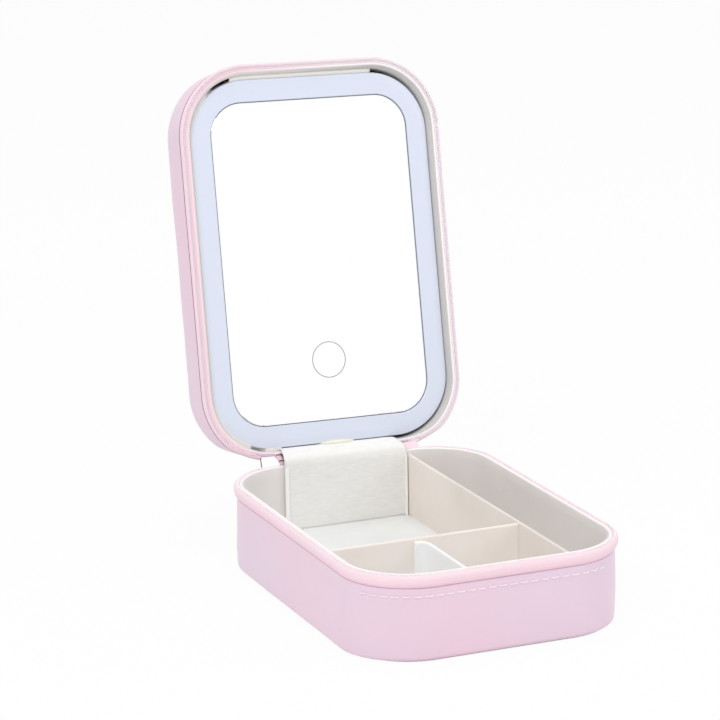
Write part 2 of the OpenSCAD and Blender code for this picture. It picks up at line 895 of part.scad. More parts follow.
// Folded ribbon that comes out between the panel's hinge end and the flap
module pull_tab() {
  low = panel_recess - tab_out + ribbon_t;
  fold_gap = 0.1;
  color(ivory)
    in_lid()
      translate([-tab_w / 2, panel_near + seat + ribbon_t, 0])
        rotate([90, 0, 90])
          linear_extrude(tab_w)
            difference() {
              union() {
                translate([0, low]) circle(r = ribbon_t);
                translate([-ribbon_t, low]) square([2 * ribbon_t, housing_back - 2 - low]);
              }
              translate([-fold_gap / 2, low + ribbon_t]) square([fold_gap, housing_back]);
            }
}

// Magnets in the housing that hold the panel on the side rests
module panel_magnets() {
  color([0.66, 0.66, 0.68])
    in_lid()
      for (spot = magnet_spots) {
        translate([spot[0], spot[1], housing_back - housing_t - magnet_t])
          cylinder(r = magnet_r, h = magnet_t);
      }
}

base_bottom_cover();
base_bottom_filler();
base_cover();
base_bottom_board();
base_wall_board();
base_lining();
base_floor_pad();
base_rim_binding();
base_zipper_tape();
base_zipper_teeth();
zipper_end_stop();
long_divider();
cross_divider();
front_divider();
hinge_strip_base();
hinge_strip_lid();
hinge_flap_wall();
hinge_flap_span();
hinge_flap_lid();
zipper_slider();
zipper_puller();
lid_cover();
lid_top_cover();
lid_top_foam();
lid_top_board();
lid_wall_board();
lid_lining();
lid_top_lining();
lid_rim_binding();
lid_zipper_tape();
lid_zipper_teeth();
mirror_rests();
mirror_housing();
light_frame();
mirror_glass();
touch_ring();
mirror_carrier();
led_strip();
control_board();
battery();
touch_sensor();
charging_socket();
housing_screws();
mirror_hinge_strip();
pull_tab();
panel_magnets();
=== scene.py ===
# %% [markdown]
# # A zip-around vanity case with a lit mirror
#
# The case is a small suitcase made of board, wrapped outside in a pearly pink leatherette and lined with
# ivory leatherette. A coil zipper runs round three sides, and a strip of the same skins makes the hinge.
# The CAD part is loaded first and stays as it is. Each step below then makes one piece or one finish.
#
# Lengths are written in millimetres, as a case maker would, and turned to metres when a mesh is made. Only
# the lamps and the camera's distance are in metres from the start.

# %% Load the frame
import bmesh
import bpy
import math
import random
from mathutils import Matrix, Vector, noise


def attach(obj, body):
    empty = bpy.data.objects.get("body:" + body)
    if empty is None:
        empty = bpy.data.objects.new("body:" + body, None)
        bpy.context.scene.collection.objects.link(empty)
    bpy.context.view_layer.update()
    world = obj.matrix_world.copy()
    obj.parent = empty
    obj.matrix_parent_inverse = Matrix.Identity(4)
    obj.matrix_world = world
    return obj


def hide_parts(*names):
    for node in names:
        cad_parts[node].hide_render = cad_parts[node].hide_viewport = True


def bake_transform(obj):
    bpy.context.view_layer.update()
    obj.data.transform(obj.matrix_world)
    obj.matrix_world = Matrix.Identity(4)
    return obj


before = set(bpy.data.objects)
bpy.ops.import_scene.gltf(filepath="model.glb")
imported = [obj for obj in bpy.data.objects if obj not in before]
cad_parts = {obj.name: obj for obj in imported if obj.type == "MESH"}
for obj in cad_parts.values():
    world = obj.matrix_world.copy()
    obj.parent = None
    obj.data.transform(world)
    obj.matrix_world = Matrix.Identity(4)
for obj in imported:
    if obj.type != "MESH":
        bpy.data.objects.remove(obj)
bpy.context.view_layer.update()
MM = 0.001

# %% [markdown]
# ## Sizes that all pieces share
#
# The real base and lid are bent round one block, so both have the same rounded rectangle as their outline
# and meet all round when the case is shut. Each piece could be drawn with an outline of its own, but with
# one shared outline the seams stay in line. The heights are those of the CAD part. Those of the lid are
# measured from the plane where it meets the base.

# %% Shared sizes
CASE_W = 150.0
CASE_D = 216.0
CORNER = 37.0
STRAIGHT_X = CASE_W / 2 - CORNER    # half of the straight stretch at the front and the back
STRAIGHT_Y = CASE_D / 2 - CORNER    # half of the straight stretch at the sides
RIM = 46.6                          # the plane where base and lid meet
SEAM = 39.5                         # the upper edge of the base's skin
FLOOR = 9.2                         # the top of the padded floor
LID_SEAM = 8.3                      # the edge of the lid's skin
LID_H = 29.0                        # the lid's outer face, before its padding
PANEL_FACE = 4.2                    # the face of the mirror panel
print("outline", CASE_W, "x", CASE_D, "mm with corners of", CORNER, "mm")

# %% [markdown]
# ## The lid's open position
#
# The photograph shows the lid open, but its pieces are easier to think about when they lie shut on the
# base. So every piece of the lid is drawn shut, and one matrix turns it open about the hinge. The hinge
# axis slants by a little more than one degree, so the open lid leans, as a soft lid does.

# %% Open the lid
HINGE = Vector((0, 111.3, 45.9)) * MM
HINGE_SLANT = 1.3
OPEN_ANGLE = 103
slant = Matrix.Rotation(math.radians(HINGE_SLANT), 4, "Y")
turn_open = Matrix.Rotation(math.radians(-OPEN_ANGLE), 4, "X")
down_on_base = Matrix.Translation(Vector((0, -HINGE.y, RIM * MM - HINGE.z)))
lid_place = Matrix.Translation(HINGE) @ slant @ turn_open @ slant.inverted() @ down_on_base
far_edge = lid_place @ (Vector((0, -CASE_D / 2, 0)) * MM)
print("the lid's far edge stands at", [round(x / MM) for x in far_edge], "mm")

# %% [markdown]
# ## The outline as points
#
# The case maker's block is a rounded rectangle. It could be a curve object with a bevel, but a list of
# points with their outward directions is easier to widen, to push out where a wall is soft, and to open
# where the hinge is. The count of points never depends on the size, so loops of any size can be joined.

# %% Outline of a rounded rectangle
def outline(w, d, r, step=6.0, arc_steps=18):
    """Points and outward directions, anticlockwise from the front end of the right side."""
    nx, ny = w / 2 - r, d / 2 - r
    sides = [((w / 2, -ny), (w / 2, ny)), ((nx, d / 2), (-nx, d / 2)),
             ((-w / 2, ny), (-w / 2, -ny)), ((-nx, -d / 2), (nx, -d / 2))]
    centres = [(nx, ny), (-nx, ny), (-nx, -ny), (nx, -ny)]
    points = []
    for k, ((x0, y0), (x1, y1)) in enumerate(sides):
        n = (math.cos(k * math.pi / 2), math.sin(k * math.pi / 2))
        count = max(2, round(2 * (STRAIGHT_X if k % 2 else STRAIGHT_Y) / step))
        for i in range(count):
            t = i / count
            points.append(((x0 + (x1 - x0) * t, y0 + (y1 - y0) * t), n))
        for i in range(arc_steps):
            a = (k + i / arc_steps) * math.pi / 2
            c, s = math.cos(a), math.sin(a)
            points.append(((centres[k][0] + r * c, centres[k][1] + r * s), (c, s)))
    return points


print("outline of", len(outline(CASE_W, CASE_D, CORNER)), "points")

# %% [markdown]
# ## From loops of points to a mesh
#
# Skins, edges, threads and cards are all the same thing to Blender: loops of points, one behind the
# other, joined by quads. A subdivided cube or a sculpt would give the shape too, but then no edge would
# sit exactly where the CAD part has it. The mesh is turned to face outwards, so that it can be cut,
# measured or printed as it is.

# %% Join loops and make the mesh
def loop_faces(loops, n, closed=False, caps=(False, False)):
    """Quads between neighbouring loops of n points, and flat caps on the first and the last loop."""
    faces = []
    for j in range(loops if closed else loops - 1):
        k = (j + 1) % loops
        for i in range(n):
            m = (i + 1) % n
            faces.append((j * n + i, j * n + m, k * n + m, k * n + i))
    if caps[0]:
        faces.append(tuple(range(n))[::-1])
    if caps[1]:
        faces.append(tuple(range((loops - 1) * n, loops * n)))
    return faces


def grid_faces(rows, columns):
    """Quads of a plain grid of points."""
    return [(j * columns + i, j * columns + i + 1, (j + 1) * columns + i + 1, (j + 1) * columns + i)
            for j in range(rows - 1) for i in range(columns - 1)]


def mesh_object(name, verts, faces, uvs=None, place=None, smooth=35):
    """A mesh object from points in millimetres, with a UV for each point, also in millimetres."""
    mesh = bpy.data.meshes.new(name)
    mesh.from_pydata([Vector(v) * MM for v in verts], [], faces)
    bm = bmesh.new()
    bm.from_mesh(mesh)
    bmesh.ops.recalc_face_normals(bm, faces=bm.faces)
    bm.to_mesh(mesh)
    bm.free()
    if uvs:
        layer = mesh.uv_layers.new(name="UVMap")
        for loop in mesh.loops:
            layer.data[loop.index].uv = uvs[loop.vertex_index]
    if place is not None:
        mesh.transform(place)
    mesh.shade_smooth()
    mesh.set_sharp_from_angle(angle=math.radians(smooth))
    mesh.validate()
    obj = bpy.data.objects.new(name, mesh)
    bpy.context.scene.collection.objects.link(obj)
    return obj


print("a square of three by three points has", len(grid_faces(3, 3)), "faces")

# %% [markdown]
# ## A section round the case
#
# Nearly every piece of this case is a section carried round the same outline: skins, linings, tapes and
# edges. A sweep along a curve would pinch at the corners, so `loft` makes one loop of the outline for each
# point of the section. Its UV map holds the lengths along the outline and along the section, in
# millimetres, which lets a weave follow the piece round its corners.

# %% Loft
def loft(name, w, d, r, section, y=0.0, caps=(False, False), shut=True, place=None, smooth=35,
         soft=None, step=6.0, arc_steps=18):
    """Carries a section of (outwards, upwards) points round a rounded rectangle w x d."""
    verts, uvs = [], []
    length = 0.0
    for j, (out, up) in enumerate(section):
        if j:
            length += math.dist(section[j - 1], section[j])
        loop = outline(w + 2 * out, d + 2 * out, r + out, step, arc_steps)
        run = 0.0
        for i, ((px, py), (nx, ny)) in enumerate(loop):
            if i:
                run += math.dist(loop[i][0], loop[i - 1][0])
            push = soft(px, py, up) if soft else 0.0
            verts.append((px + nx * push, py + ny * push + y, up))
            uvs.append((run, length))
    return mesh_object(name, verts, loop_faces(len(section), len(loop), shut, caps), uvs, place, smooth)


print("helper:", loft.__name__)

# %% [markdown]
# ## Sheets and threads
#
# Flaps and ribbons are thin sheets: `strip` takes rows of points and leaves their thickness to a modifier,
# which keeps both faces even. Threads and wires are round: `tube` carries a circle along a path, turning it
# as little as possible, which a curve object's bevel would do as well but not as one plain mesh.

# %% Strip and tube
def strip(name, rows, thick, place=None):
    """A thin sheet from a grid of points, with its own thickness."""
    verts = [p for row in rows for p in row]
    uvs = []
    for j, row in enumerate(rows):
        for i in range(len(row)):
            across = sum(math.dist(row[k], row[k - 1]) for k in range(1, i + 1))
            along = sum(math.dist(rows[k][i], rows[k - 1][i]) for k in range(1, j + 1))
            uvs.append((across, along))
    obj = mesh_object(name, verts, grid_faces(len(rows), len(rows[0])), uvs, place, 40)
    body = obj.modifiers.new("thickness", "SOLIDIFY")
    body.thickness = thick * MM
    body.offset = 0
    return obj


def round_thread(points, radius, sides=8):
    """Points and faces of a round thread through a list of points, with closed ends."""
    verts = []
    for i, p in enumerate(points):
        before = Vector(points[max(i - 1, 0)])
        after = Vector(points[min(i + 1, len(points) - 1)])
        along = (after - before).normalized()
        side = along.orthogonal().normalized() if i == 0 else (side - along * side.dot(along)).normalized()
        up = along.cross(side)
        for k in range(sides):
            t = 2 * math.pi * k / sides
            verts.append(tuple(Vector(p) + (side * math.cos(t) + up * math.sin(t)) * radius))
    return verts, loop_faces(len(points), sides, caps=(True, True))


def tube(name, points, radius):
    """A round thread or wire as a piece of its own."""
    return mesh_object(name, *round_thread(points, radius), smooth=60)


print("helpers:", strip.__name__, round_thread.__name__, tube.__name__)

# %% [markdown]
# ## Colours
#
# A colour is written as it looks on a screen, in the usual 0 to 255 steps, and turned into amounts of light
# here, because a shader counts in light. It could be written as light at once, but a pale pink is hard to
# judge in that scale.

# %% Colours
def tint(r, g, b):
    """A colour in 0 to 255 steps as linear light."""
    def channel(c):
        c /= 255
        return c / 12.92 if c <= 0.04045 else ((c + 0.055) / 1.055) ** 2.4
    return (channel(r), channel(g), channel(b), 1.0)


print("pearl pink as light is", [round(c, 2) for c in tint(240, 211, 226)[:3]])

# %% [markdown]
# ## Nodes
#
# A material is a tree of nodes, and so is the world. Placing nodes by hand takes a line for each node, each
# value and each link, so one small class does all three at once.

# %% Node tree
class NodeTree:
    """Short ways to add nodes to a material or to the world, and to join them."""

    def __init__(self, tree):
        self.nodes = tree.nodes
        self.links = tree.links

    def add(self, kind, inputs, **settings):
        """A new node. Values are set on its inputs, and the outputs of other nodes are joined to them."""
        node = self.nodes.new("ShaderNode" + kind)
        for key, value in settings.items():
            setattr(node, key, value)
        for key, value in inputs.items():
            if isinstance(value, bpy.types.NodeSocket):
                self.links.new(value, node.inputs[key])
            else:
                node.inputs[key].default_value = value
        return node

    def math(self, kind, a, b):
        return self.add("Math", {0: a, 1: b}, operation=kind).outputs[0]

    def seen_directly(self):
        """1 for what the camera sees itself or in a gloss, and 0 for light that falls on the case."""
        path = self.add("LightPath", {}).outputs
        return self.math("MAXIMUM", path["Is Camera Ray"], path["Is Glossy Ray"])


print("a new node takes one call")

# %% [markdown]
# ## A finish
#
# A finish is what a case maker orders by name: a colour, how matt it is, its grain and its wear. Grain,
# weave and wear could be painted pictures, but noise, cells and waves need no picture, stay sharp close up
# and have the right scale at once. So each finish is a material with one Principled shader, and the methods
# are the ways in which this case's skins, cloths and plastics differ.

# %% Finish
class Finish(NodeTree):
    """A material with one Principled shader."""

    def __init__(self, name, colour, rough, **sockets):
        self.made = bpy.data.materials.new(name)
        self.made.use_nodes = True
        super().__init__(self.made.node_tree)
        self.shader = self.nodes["Principled BSDF"]
        self.shader.inputs["Base Color"].default_value = colour
        self.shader.inputs["Roughness"].default_value = rough
        for key, value in sockets.items():
            self.shader.inputs[key.replace("_", " ")].default_value = value

    def place(self, scale=(1, 1, 1), uv=False):
        """Coordinates in metres on the object, or the piece's own UV map in millimetres."""
        spot = self.add("TexCoord", {}).outputs["UV" if uv else "Object"]
        return self.add("Mapping", {"Vector": spot, "Scale": scale}).outputs["Vector"]

    def noise(self, where, scale, detail=3.0, rough=0.5):
        inputs = {"Vector": where, "Scale": scale, "Detail": detail, "Roughness": rough}
        return self.add("TexNoise", inputs).outputs["Fac"]

    def cells(self, where, scale):
        inputs = {"Vector": where, "Scale": scale, "Smoothness": 0.6}
        return self.add("TexVoronoi", inputs, feature="SMOOTH_F1").outputs["Distance"]

    def wave(self, where, scale, axis="X", distortion=0.0):
        inputs = {"Vector": where, "Scale": scale, "Distortion": distortion}
        return self.add("TexWave", inputs, bands_direction=axis).outputs["Fac"]

    def mix(self, factor, low, high, start=0.35, end=0.65):
        """Colours between two tints, spread over a part of the factor's range."""
        ramp = self.add("ValToRGB", {"Fac": factor})
        for stop, place, colour in zip(ramp.color_ramp.elements, (start, end), (low, high)):
            stop.position = place
            stop.color = colour
        return ramp.outputs["Color"]

    def left_to_right(self):
        """From 0 at 50 mm left of the case's middle to 1 at 50 mm right of it."""
        spot = self.add("TexCoord", {}).outputs["Object"]
        place = self.add("Mapping", {"Vector": spot, "Scale": (10.0, 0.0, 0.0), "Location": (0.5, 0.0, 0.0)})
        return self.add("TexGradient", {"Vector": place.outputs["Vector"]}).outputs["Fac"]

    def along_section(self, start, end):
        """1 up to a length along the piece's section, in millimetres, and 0 from a second length on."""
        parts = self.add("SeparateXYZ", {0: self.place(uv=True)})
        inputs = {"Value": parts.outputs["Y"], "From Min": start, "From Max": end,
                  "To Min": 1.0, "To Max": 0.0}
        return self.add("MapRange", inputs).outputs["Result"]

    def fade(self, factor, a, b):
        """From colour a to colour b by the factor."""
        return self.add("Mix", {"Factor": factor, 6: a, 7: b}, data_type="RGBA").outputs[2]

    def colour(self, value):
        self.links.new(value, self.shader.inputs["Base Color"])
        return self

    def bump(self, height, depth_mm, strength=1.0):
        node = self.add("Bump", {"Height": height, "Distance": depth_mm * MM, "Strength": strength})
        self.links.new(node.outputs["Normal"], self.shader.inputs["Normal"])
        return self

    def grained(self, scale, depth_mm, strength, detail=3.0):
        """A fine, even grain all over the piece."""
        return self.bump(self.noise(self.place(), scale, detail), depth_mm, strength)

    def drift(self, scale, low, high, start=0.35, end=0.65, detail=3.0):
        """Lets the colour drift between two tints."""
        return self.colour(self.mix(self.noise(self.place(), scale, detail), low, high, start, end))

    def across(self, low, high, start, end):
        """Lets the colour change from the left of the case to its right."""
        return self.colour(self.mix(self.left_to_right(), low, high, start, end))


print("patterns:", Finish.noise.__name__, Finish.cells.__name__, Finish.wave.__name__)

# %% [markdown]
# ## The pearly outer leatherette
#
# The skin is a coated fabric, pressed with a very fine grain and finished with a pearl lacquer. The pearl
# shows as slow drifts between pink and lilac. A colour that depends on the viewing angle would do that too,
# but an exported model loses it, so two tints are mixed by a large, soft noise. Small cells and a finer
# noise press the grain, and a thin coat with a little sheen gives the lacquer.

# %% Outer leatherette
outer = Finish("pearl leatherette", tint(236, 210, 226), 0.42, Coat_Weight=0.2, Coat_Roughness=0.3,
               Sheen_Weight=0.15, Sheen_Roughness=0.4, Specular_IOR_Level=0.35)
outer.drift(11.0, tint(240, 211, 226), tint(235, 213, 230), 0.36, 0.64, 1.5)
spot = outer.place()
grain = outer.math("ADD", outer.cells(spot, 1150.0), outer.math("MULTIPLY", outer.noise(spot, 420.0), 0.8))
outer.bump(grain, 0.05, 0.5)
print(outer.made.name, "has", len(outer.nodes), "nodes")

# %% [markdown]
# ## The ivory linings
#
# One matt leatherette with a fine, dry grain lines the whole case, but it doesn't look the same everywhere.
# On the walls it gets a greyer tint, which is painted shade, and on the long divider a darker one, which is
# painted shade where it lies deep in the case. In the lid a painted shade darkens its right side, which is
# turned away from the light. A single material would be the truth of the shop, but slightly different tints
# give the depth that the photograph shows.

# %% Ivory leatherettes
def ivory(name):
    """A matt leatherette with a fine, dry grain."""
    made = Finish(name, tint(236, 230, 221), 0.62, Specular_IOR_Level=0.3)
    spot = made.place()
    return made.bump(made.math("ADD", made.cells(spot, 900.0), made.noise(spot, 260.0)), 0.05, 0.5)


lining = ivory("ivory lining").drift(22.0, tint(245, 236, 229), tint(251, 243, 237))
long_skin = ivory("shaded ivory lining").drift(22.0, tint(232, 223, 215), tint(239, 230, 223))
# Painted shade: the walls' lining is a greyer copy of the lining.
shaded_wall_lining = ivory("ivory wall lining with painted shade").drift(18.0, tint(228, 223, 221), tint(235, 231, 229))
# Painted shade: the lid's lining grows darker from its left side to its right.
lid_lining_with_shade = ivory("ivory lid lining with painted shade").across(tint(232, 228, 226), tint(209, 206, 203), 0.2, 0.9)
print("four tints of one ivory lining")

# %% [markdown]
# ## Turned edges, flap and floor
#
# Where the lining is turned over an edge it is drawn tight, so it is smoother there, and it has a paler tint.
# On the lid that edge has painted shade with a pink cast on the left, and is white on the right. The inner
# flap is softer and has a crinkle that runs along the hinge, which a noise stretched along X gives. The same
# noise paints shade into the crinkle, so its hollows are darker than its ridges. The floor is a brushed
# fabric over foam. Its nap could be hair, but at this distance a fine bump with a soft sheen looks the same
# and costs far less.

# %% Edges, flap and floor
edge_look = {"colour": tint(253, 251, 249), "rough": 0.5, "Specular_IOR_Level": 0.35}
binding = Finish("pale turned edge", **edge_look).grained(500.0, 0.04, 0.4)
# Painted shade: the lid's edge is pink and darker on the left, and white on the right.
lid_edge_with_shade = Finish("lid turned edge with painted shade", **edge_look).grained(500.0, 0.04, 0.4)
lid_edge_with_shade.across(tint(255, 226, 237), tint(255, 253, 252), 0.1, 0.7)
white_card = Finish("white divider cloth", tint(253, 254, 255), 0.7, Specular_IOR_Level=0.25)
white_card.grained(600.0, 0.05, 0.5, 4.0)
hem_skin = Finish("smooth hem", tint(252, 251, 248), 0.55, Specular_IOR_Level=0.3).grained(500.0, 0.04, 0.4)

crinkle = Finish("crinkled flap", tint(234, 232, 226), 0.66, Specular_IOR_Level=0.28)
spot = crinkle.place((0.3, 1.0, 1.0))
fold_height_and_shade = crinkle.noise(spot, 760.0, 4.0, 0.6)
# Painted shade: the crinkle's hollows get the darker tint and its ridges the paler one.
crinkle.colour(crinkle.mix(fold_height_and_shade, tint(236, 236, 233), tint(245, 244, 242), 0.3, 0.7))
fine = crinkle.math("MULTIPLY", crinkle.noise(spot, 1700.0), 0.5)
crinkle.bump(crinkle.math("ADD", fold_height_and_shade, fine), 0.14, 0.7)

velvet = Finish("brushed floor", tint(233, 233, 230), 0.85, Sheen_Weight=0.35, Sheen_Roughness=0.5,
                Specular_IOR_Level=0.15)
velvet.drift(60.0, tint(231, 233, 232), tint(235, 237, 236), detail=4.0)
velvet.bump(velvet.noise(velvet.place(), 1500.0, 4.0, 0.7), 0.08, 0.6)
print(len(bpy.data.materials), "materials so far, with the CAD part's own")

# %% [markdown]
# ## The woven tapes
#
# A zipper tape is woven with fine ribs across it and a faint herringbone. Both are waves drawn in the UV map,
# so they turn the corners with the tape, which waves in space wouldn't do. The same waves paint shade into
# the weave's hollows and a highlight on its raised threads. The base's tape is painted deeper pink near its
# seam, in the shade under its roll, and paler towards the crest, where the light falls, in uneven streaks.
# The lid's tape is painted paler, as painted light, only inside its crest on the right.

# %% Tape finishes
def woven(name, share, first, second):
    """A woven tape that goes from the first pair of tints to the second as its share rises to 1."""
    made = Finish(name, tint(255, 234, 241), 0.7, Sheen_Weight=0.25, Sheen_Roughness=0.4,
                  Specular_IOR_Level=0.25)
    spot = made.place(uv=True)
    ribs = made.wave(spot, 0.42)
    herringbone = made.wave(spot, 0.9, "DIAGONAL", 0.6)
    made.bump(made.math("ADD", ribs, herringbone), 0.05, 0.6)
    # Painted light: the weave's hollows get the darker tint and its raised threads the paler one.
    weave_light_and_shade = made.math("MULTIPLY", ribs, herringbone)
    tints = [made.mix(weave_light_and_shade, hollow_shade, lit_thread_top, 0.0, 0.9) for hollow_shade, lit_thread_top in (first, second)]
    return made.colour(made.fade(share(made), *tints))


# Painted shade: deeper pink at the seam, under the roll, and paler at the lit crest.
def shade_near_seam(made):
    """1 at the seam and 0 at the crest, in streaks along the tape."""
    streaks = made.noise(made.place((0.03, 0.8, 1.0), uv=True), 1.0)
    uneven = made.math("MULTIPLY", made.math("SUBTRACT", streaks, 0.5), 0.9)
    return made.math("ADD", made.along_section(5.0, 12.0), uneven)


# Painted light: the lid's tape is paler inside its crest on the right.
def light_inside_on_the_right(made):
    """1 inside the crest at the right of the lid, and 0 outside the crest."""
    return made.math("MULTIPLY", made.left_to_right(), made.along_section(14.2, 15.8))


tape = woven("woven tape", shade_near_seam, (tint(254, 231, 239), tint(255, 241, 246)),
             (tint(255, 217, 231), tint(255, 229, 239)))
lid_tape_skin = woven("woven lid tape", light_inside_on_the_right, (tint(255, 226, 237), tint(255, 237, 244)),
                      (tint(255, 240, 246), tint(255, 247, 251)))
print("woven tapes:", tape.made.name, "and", lid_tape_skin.made.name)

# %% [markdown]
# ## Threads, coil and metal
#
# The seams are sewn with mauve thread, and its dark colour is partly painted shadow of the fold beside it. A
# stitch and the gap behind it come by turns, and the gaps are painted in shade, so the thread is dark and
# light by turns, which a wave along its UV map gives for less than hundreds of small stitches. The coil is
# smooth nylon, written almost white and lighter than its tape, as painted light that lifts the shade in its
# groove. The slider and its puller are lacquered in the pink of the tape.

# %% Thread, coil and metal finishes
def shadowed_thread(name, low, high):
    """A thread along a seam, dark and light by turns, with painted shade in the gaps between its stitches."""
    made = Finish(name, low, 0.7)
    return made.colour(made.mix(made.wave(made.place(uv=True), 0.21), low, high, 0.3, 0.7))


# Painted shadow: both seam threads are dark with the shade of the fold, the lid's darker still.
seam_thread_shadow = shadowed_thread("mauve seam thread in painted shadow", tint(150, 96, 124), tint(224, 178, 200))
lid_thread_shadow = shadowed_thread("lid seam thread in darker painted shadow", tint(104, 58, 82), tint(196, 140, 166))
thread = Finish("white thread", tint(255, 242, 249), 0.6, Sheen_Weight=0.3)
thread.bump(thread.wave(thread.place(), 900.0, "DIAGONAL"), 0.05, 0.6)
# Painted light: the coil is lighter than its tape, to lift the shade in its groove.
nylon = Finish("nylon coil with painted light", tint(255, 247, 252), 0.32, Coat_Weight=0.2)
tail = Finish("dark wire", tint(96, 72, 84), 0.45)
metal = Finish("pink lacquered metal", tint(250, 222, 232), 0.25, Coat_Weight=0.4, Coat_Roughness=0.1)
metal.grained(700.0, 0.01, 0.3)
print(len(bpy.data.materials), "materials so far, with the CAD part's own")

# %% [markdown]
# ## Mirror, light frame and ribbons
#
# The mirror is a metal with no roughness. The frame round it is acrylic, frosted from behind, with cool
# lamps that are barely on, so it gets a cool white colour and a faint glow of its own. Real lamps behind
# real frosted acrylic would look much the same, with far more noise in the picture. The ribbons are woven,
# and waves press their ribs.

# %% Panel finishes
silver = Finish("silvered glass", (1.0, 1.0, 1.0, 1), 0.0, Metallic=1.0)
glow = tint(214, 222, 238)
frosted = Finish("frosted acrylic", tint(211, 217, 232), 0.35, Coat_Weight=0.3, Coat_Roughness=0.15,
                 Emission_Color=glow, Emission_Strength=0.12)
frosted.grained(1800.0, 0.01, 0.2)
glass_edge = Finish("ground glass edge", tint(124, 130, 138), 0.3)
printed = Finish("printed ring", tint(150, 153, 160), 0.5)
ribbon = Finish("woven ribbon", tint(240, 238, 233), 0.7, Sheen_Weight=0.2)
spot = ribbon.place()
ribbon.bump(ribbon.math("ADD", ribbon.wave(spot, 900.0, "X"), ribbon.wave(spot, 900.0, "Y")), 0.06, 0.6)
tab_ribbon = Finish("ivory ribbon", tint(247, 242, 226), 0.6, Sheen_Weight=0.2)
tab_ribbon.bump(tab_ribbon.wave(tab_ribbon.place(), 900.0), 0.06, 0.5)
print(len(bpy.data.materials), "materials so far, with the CAD part's own")

# %% [markdown]
# ## What is inside
#
# Grey board, foam, a moulded housing and electronics are hidden while the case is whole. They could stay
# plain, but a model that is opened up or taken apart shows them, so each gets its own simple finish.

# %% Finishes of the hidden parts
board = Finish("grey board", tint(176, 168, 156), 0.9)
board.drift(300.0, tint(160, 152, 140), tint(190, 183, 172), detail=5.0).grained(900.0, 0.1, 0.6, 4.0)
foam = Finish("white foam", tint(240, 240, 236), 0.9)
foam.bump(foam.cells(foam.place(), 1400.0), 0.1, 0.7)
case_plastic = Finish("white moulded plastic", tint(238, 238, 236), 0.4).grained(900.0, 0.02, 0.3)
lacquer = Finish("green lacquer", tint(38, 112, 70), 0.35, Coat_Weight=0.3)
pouch = Finish("foil pouch", tint(205, 209, 214), 0.35, Metallic=0.8)
copper = Finish("copper pad", tint(214, 150, 108), 0.35, Metallic=1.0)
steel = Finish("nickel plate", tint(205, 205, 208), 0.28, Metallic=1.0)
lamps = Finish("lamp strip", tint(250, 246, 226), 0.5, Emission_Color=glow, Emission_Strength=0.3)
print(len(bpy.data.materials), "materials in all, with the CAD part's own")

# %% [markdown]
# ## Dress a piece
#
# A finished piece needs a material and a body that carries it, and the CAD nodes that it stands for are
# hidden. Three calls for each piece would be easy to forget, so one helper makes them all. A CAD node whose
# shape is right keeps its mesh and only gets a finish.

# %% Dress and keep
def dress(obj, finish, body, slot, *nodes):
    """Gives a piece its finish and its body, and hides the CAD nodes that it stands for. Its slot is not
    used.
    """
    obj.data.materials.clear()
    obj.data.materials.append(finish.made)
    if body:
        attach(obj, body)
    if nodes:
        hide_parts(*nodes)
    print(obj.name, "has", len(obj.data.polygons), "faces in", finish.made.name)
    return obj


def keep(node, finish):
    """Keeps a CAD node's own mesh and gives it a finish."""
    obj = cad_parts[node]
    obj.data.materials.clear()
    obj.data.materials.append(finish.made)
    obj.data.shade_smooth()
    obj.data.set_sharp_from_angle(angle=math.radians(30))
    return obj


print("helpers:", dress.__name__, keep.__name__)

# %% [markdown]
# ## How soft walls give way
#
# Leatherette over board is never quite flat, and this case bulges where foam lies behind the skin or where
# the wall isn't held. Cloth simulation would find some bulge, but not the one in the photograph. So each
# softness is a small function that says how far a point of the outline is pushed out, and `loft` asks it.

# %% Softness
LID_PAD = 2.6       # how much higher the foam lifts the lid's outer face than the CAD part has it
RIM_FLARE = 1.9     # how far the lid opens out at its rim
LID_FULL = 1.5      # how much fuller the lid's skin is at its outer face
BASE_FULL = 2.3     # how much fuller the base's skin is at the foot of its left side


def rising(value, low, length):
    """0 up to low, and then evenly up to 1 over a length."""
    return min(max((value - low) / length, 0.0), 1.0)


def between(value, low, high):
    """A smooth step from 0 at low to 1 at high."""
    t = rising(value, low, high - low)
    return t * t * (3 - 2 * t)


def facing_left(x, y):
    """1 where the outline of the case faces left, 0 where it faces the front, the back or the right."""
    dx = math.copysign(max(abs(x) - STRAIGHT_X, 0.0), x)
    dy = max(abs(y) - STRAIGHT_Y, 0.0)
    return max(-dx, 0.0) ** 2 / max(dx * dx + dy * dy, 1e-6)


def slack(x, y, up):
    """The small unevenness of a skin drawn over board, in millimetres."""
    slow = noise.noise(Vector((x, y, up * 1.5)) * 0.035)
    quick = noise.noise(Vector((x, y, up)) * 0.12)
    return 0.28 * (slow + 0.35 * quick)


def base_softness(x, y, up):
    """The base is fuller towards the foot of its long left side."""
    full = facing_left(x, y) * (1 - between(y, 60, 100)) * (1 - between(up, 4, SEAM))
    return slack(x, y, up) + BASE_FULL * full


def off_hinge(y):
    """1 all round the lid and 0 at the hinge, where it is sewn down."""
    return 1 - between(y, 98, 107.5)


def rim_flare(x, y, up):
    """The lid opens out over its last 14 mm towards the rim."""
    return RIM_FLARE * max(1 - up / 14.0, 0.0) * off_hinge(y)


def lining_flare(x, y, up):
    """The lid's lining slopes out only from near the mirror panel's face up to the rim."""
    return RIM_FLARE * min(max(1 - up / 4.6, 0.0), 1.0) * off_hinge(y)


def lid_softness(x, y, up):
    """The lid is fuller towards its outer face, and opens out at its rim."""
    return slack(x, y, up) + rim_flare(x, y, up) + LID_FULL * between(up, LID_SEAM, LID_H) * off_hinge(y)


print("the base is up to", BASE_FULL, "mm fuller, the lid", LID_FULL, "mm")

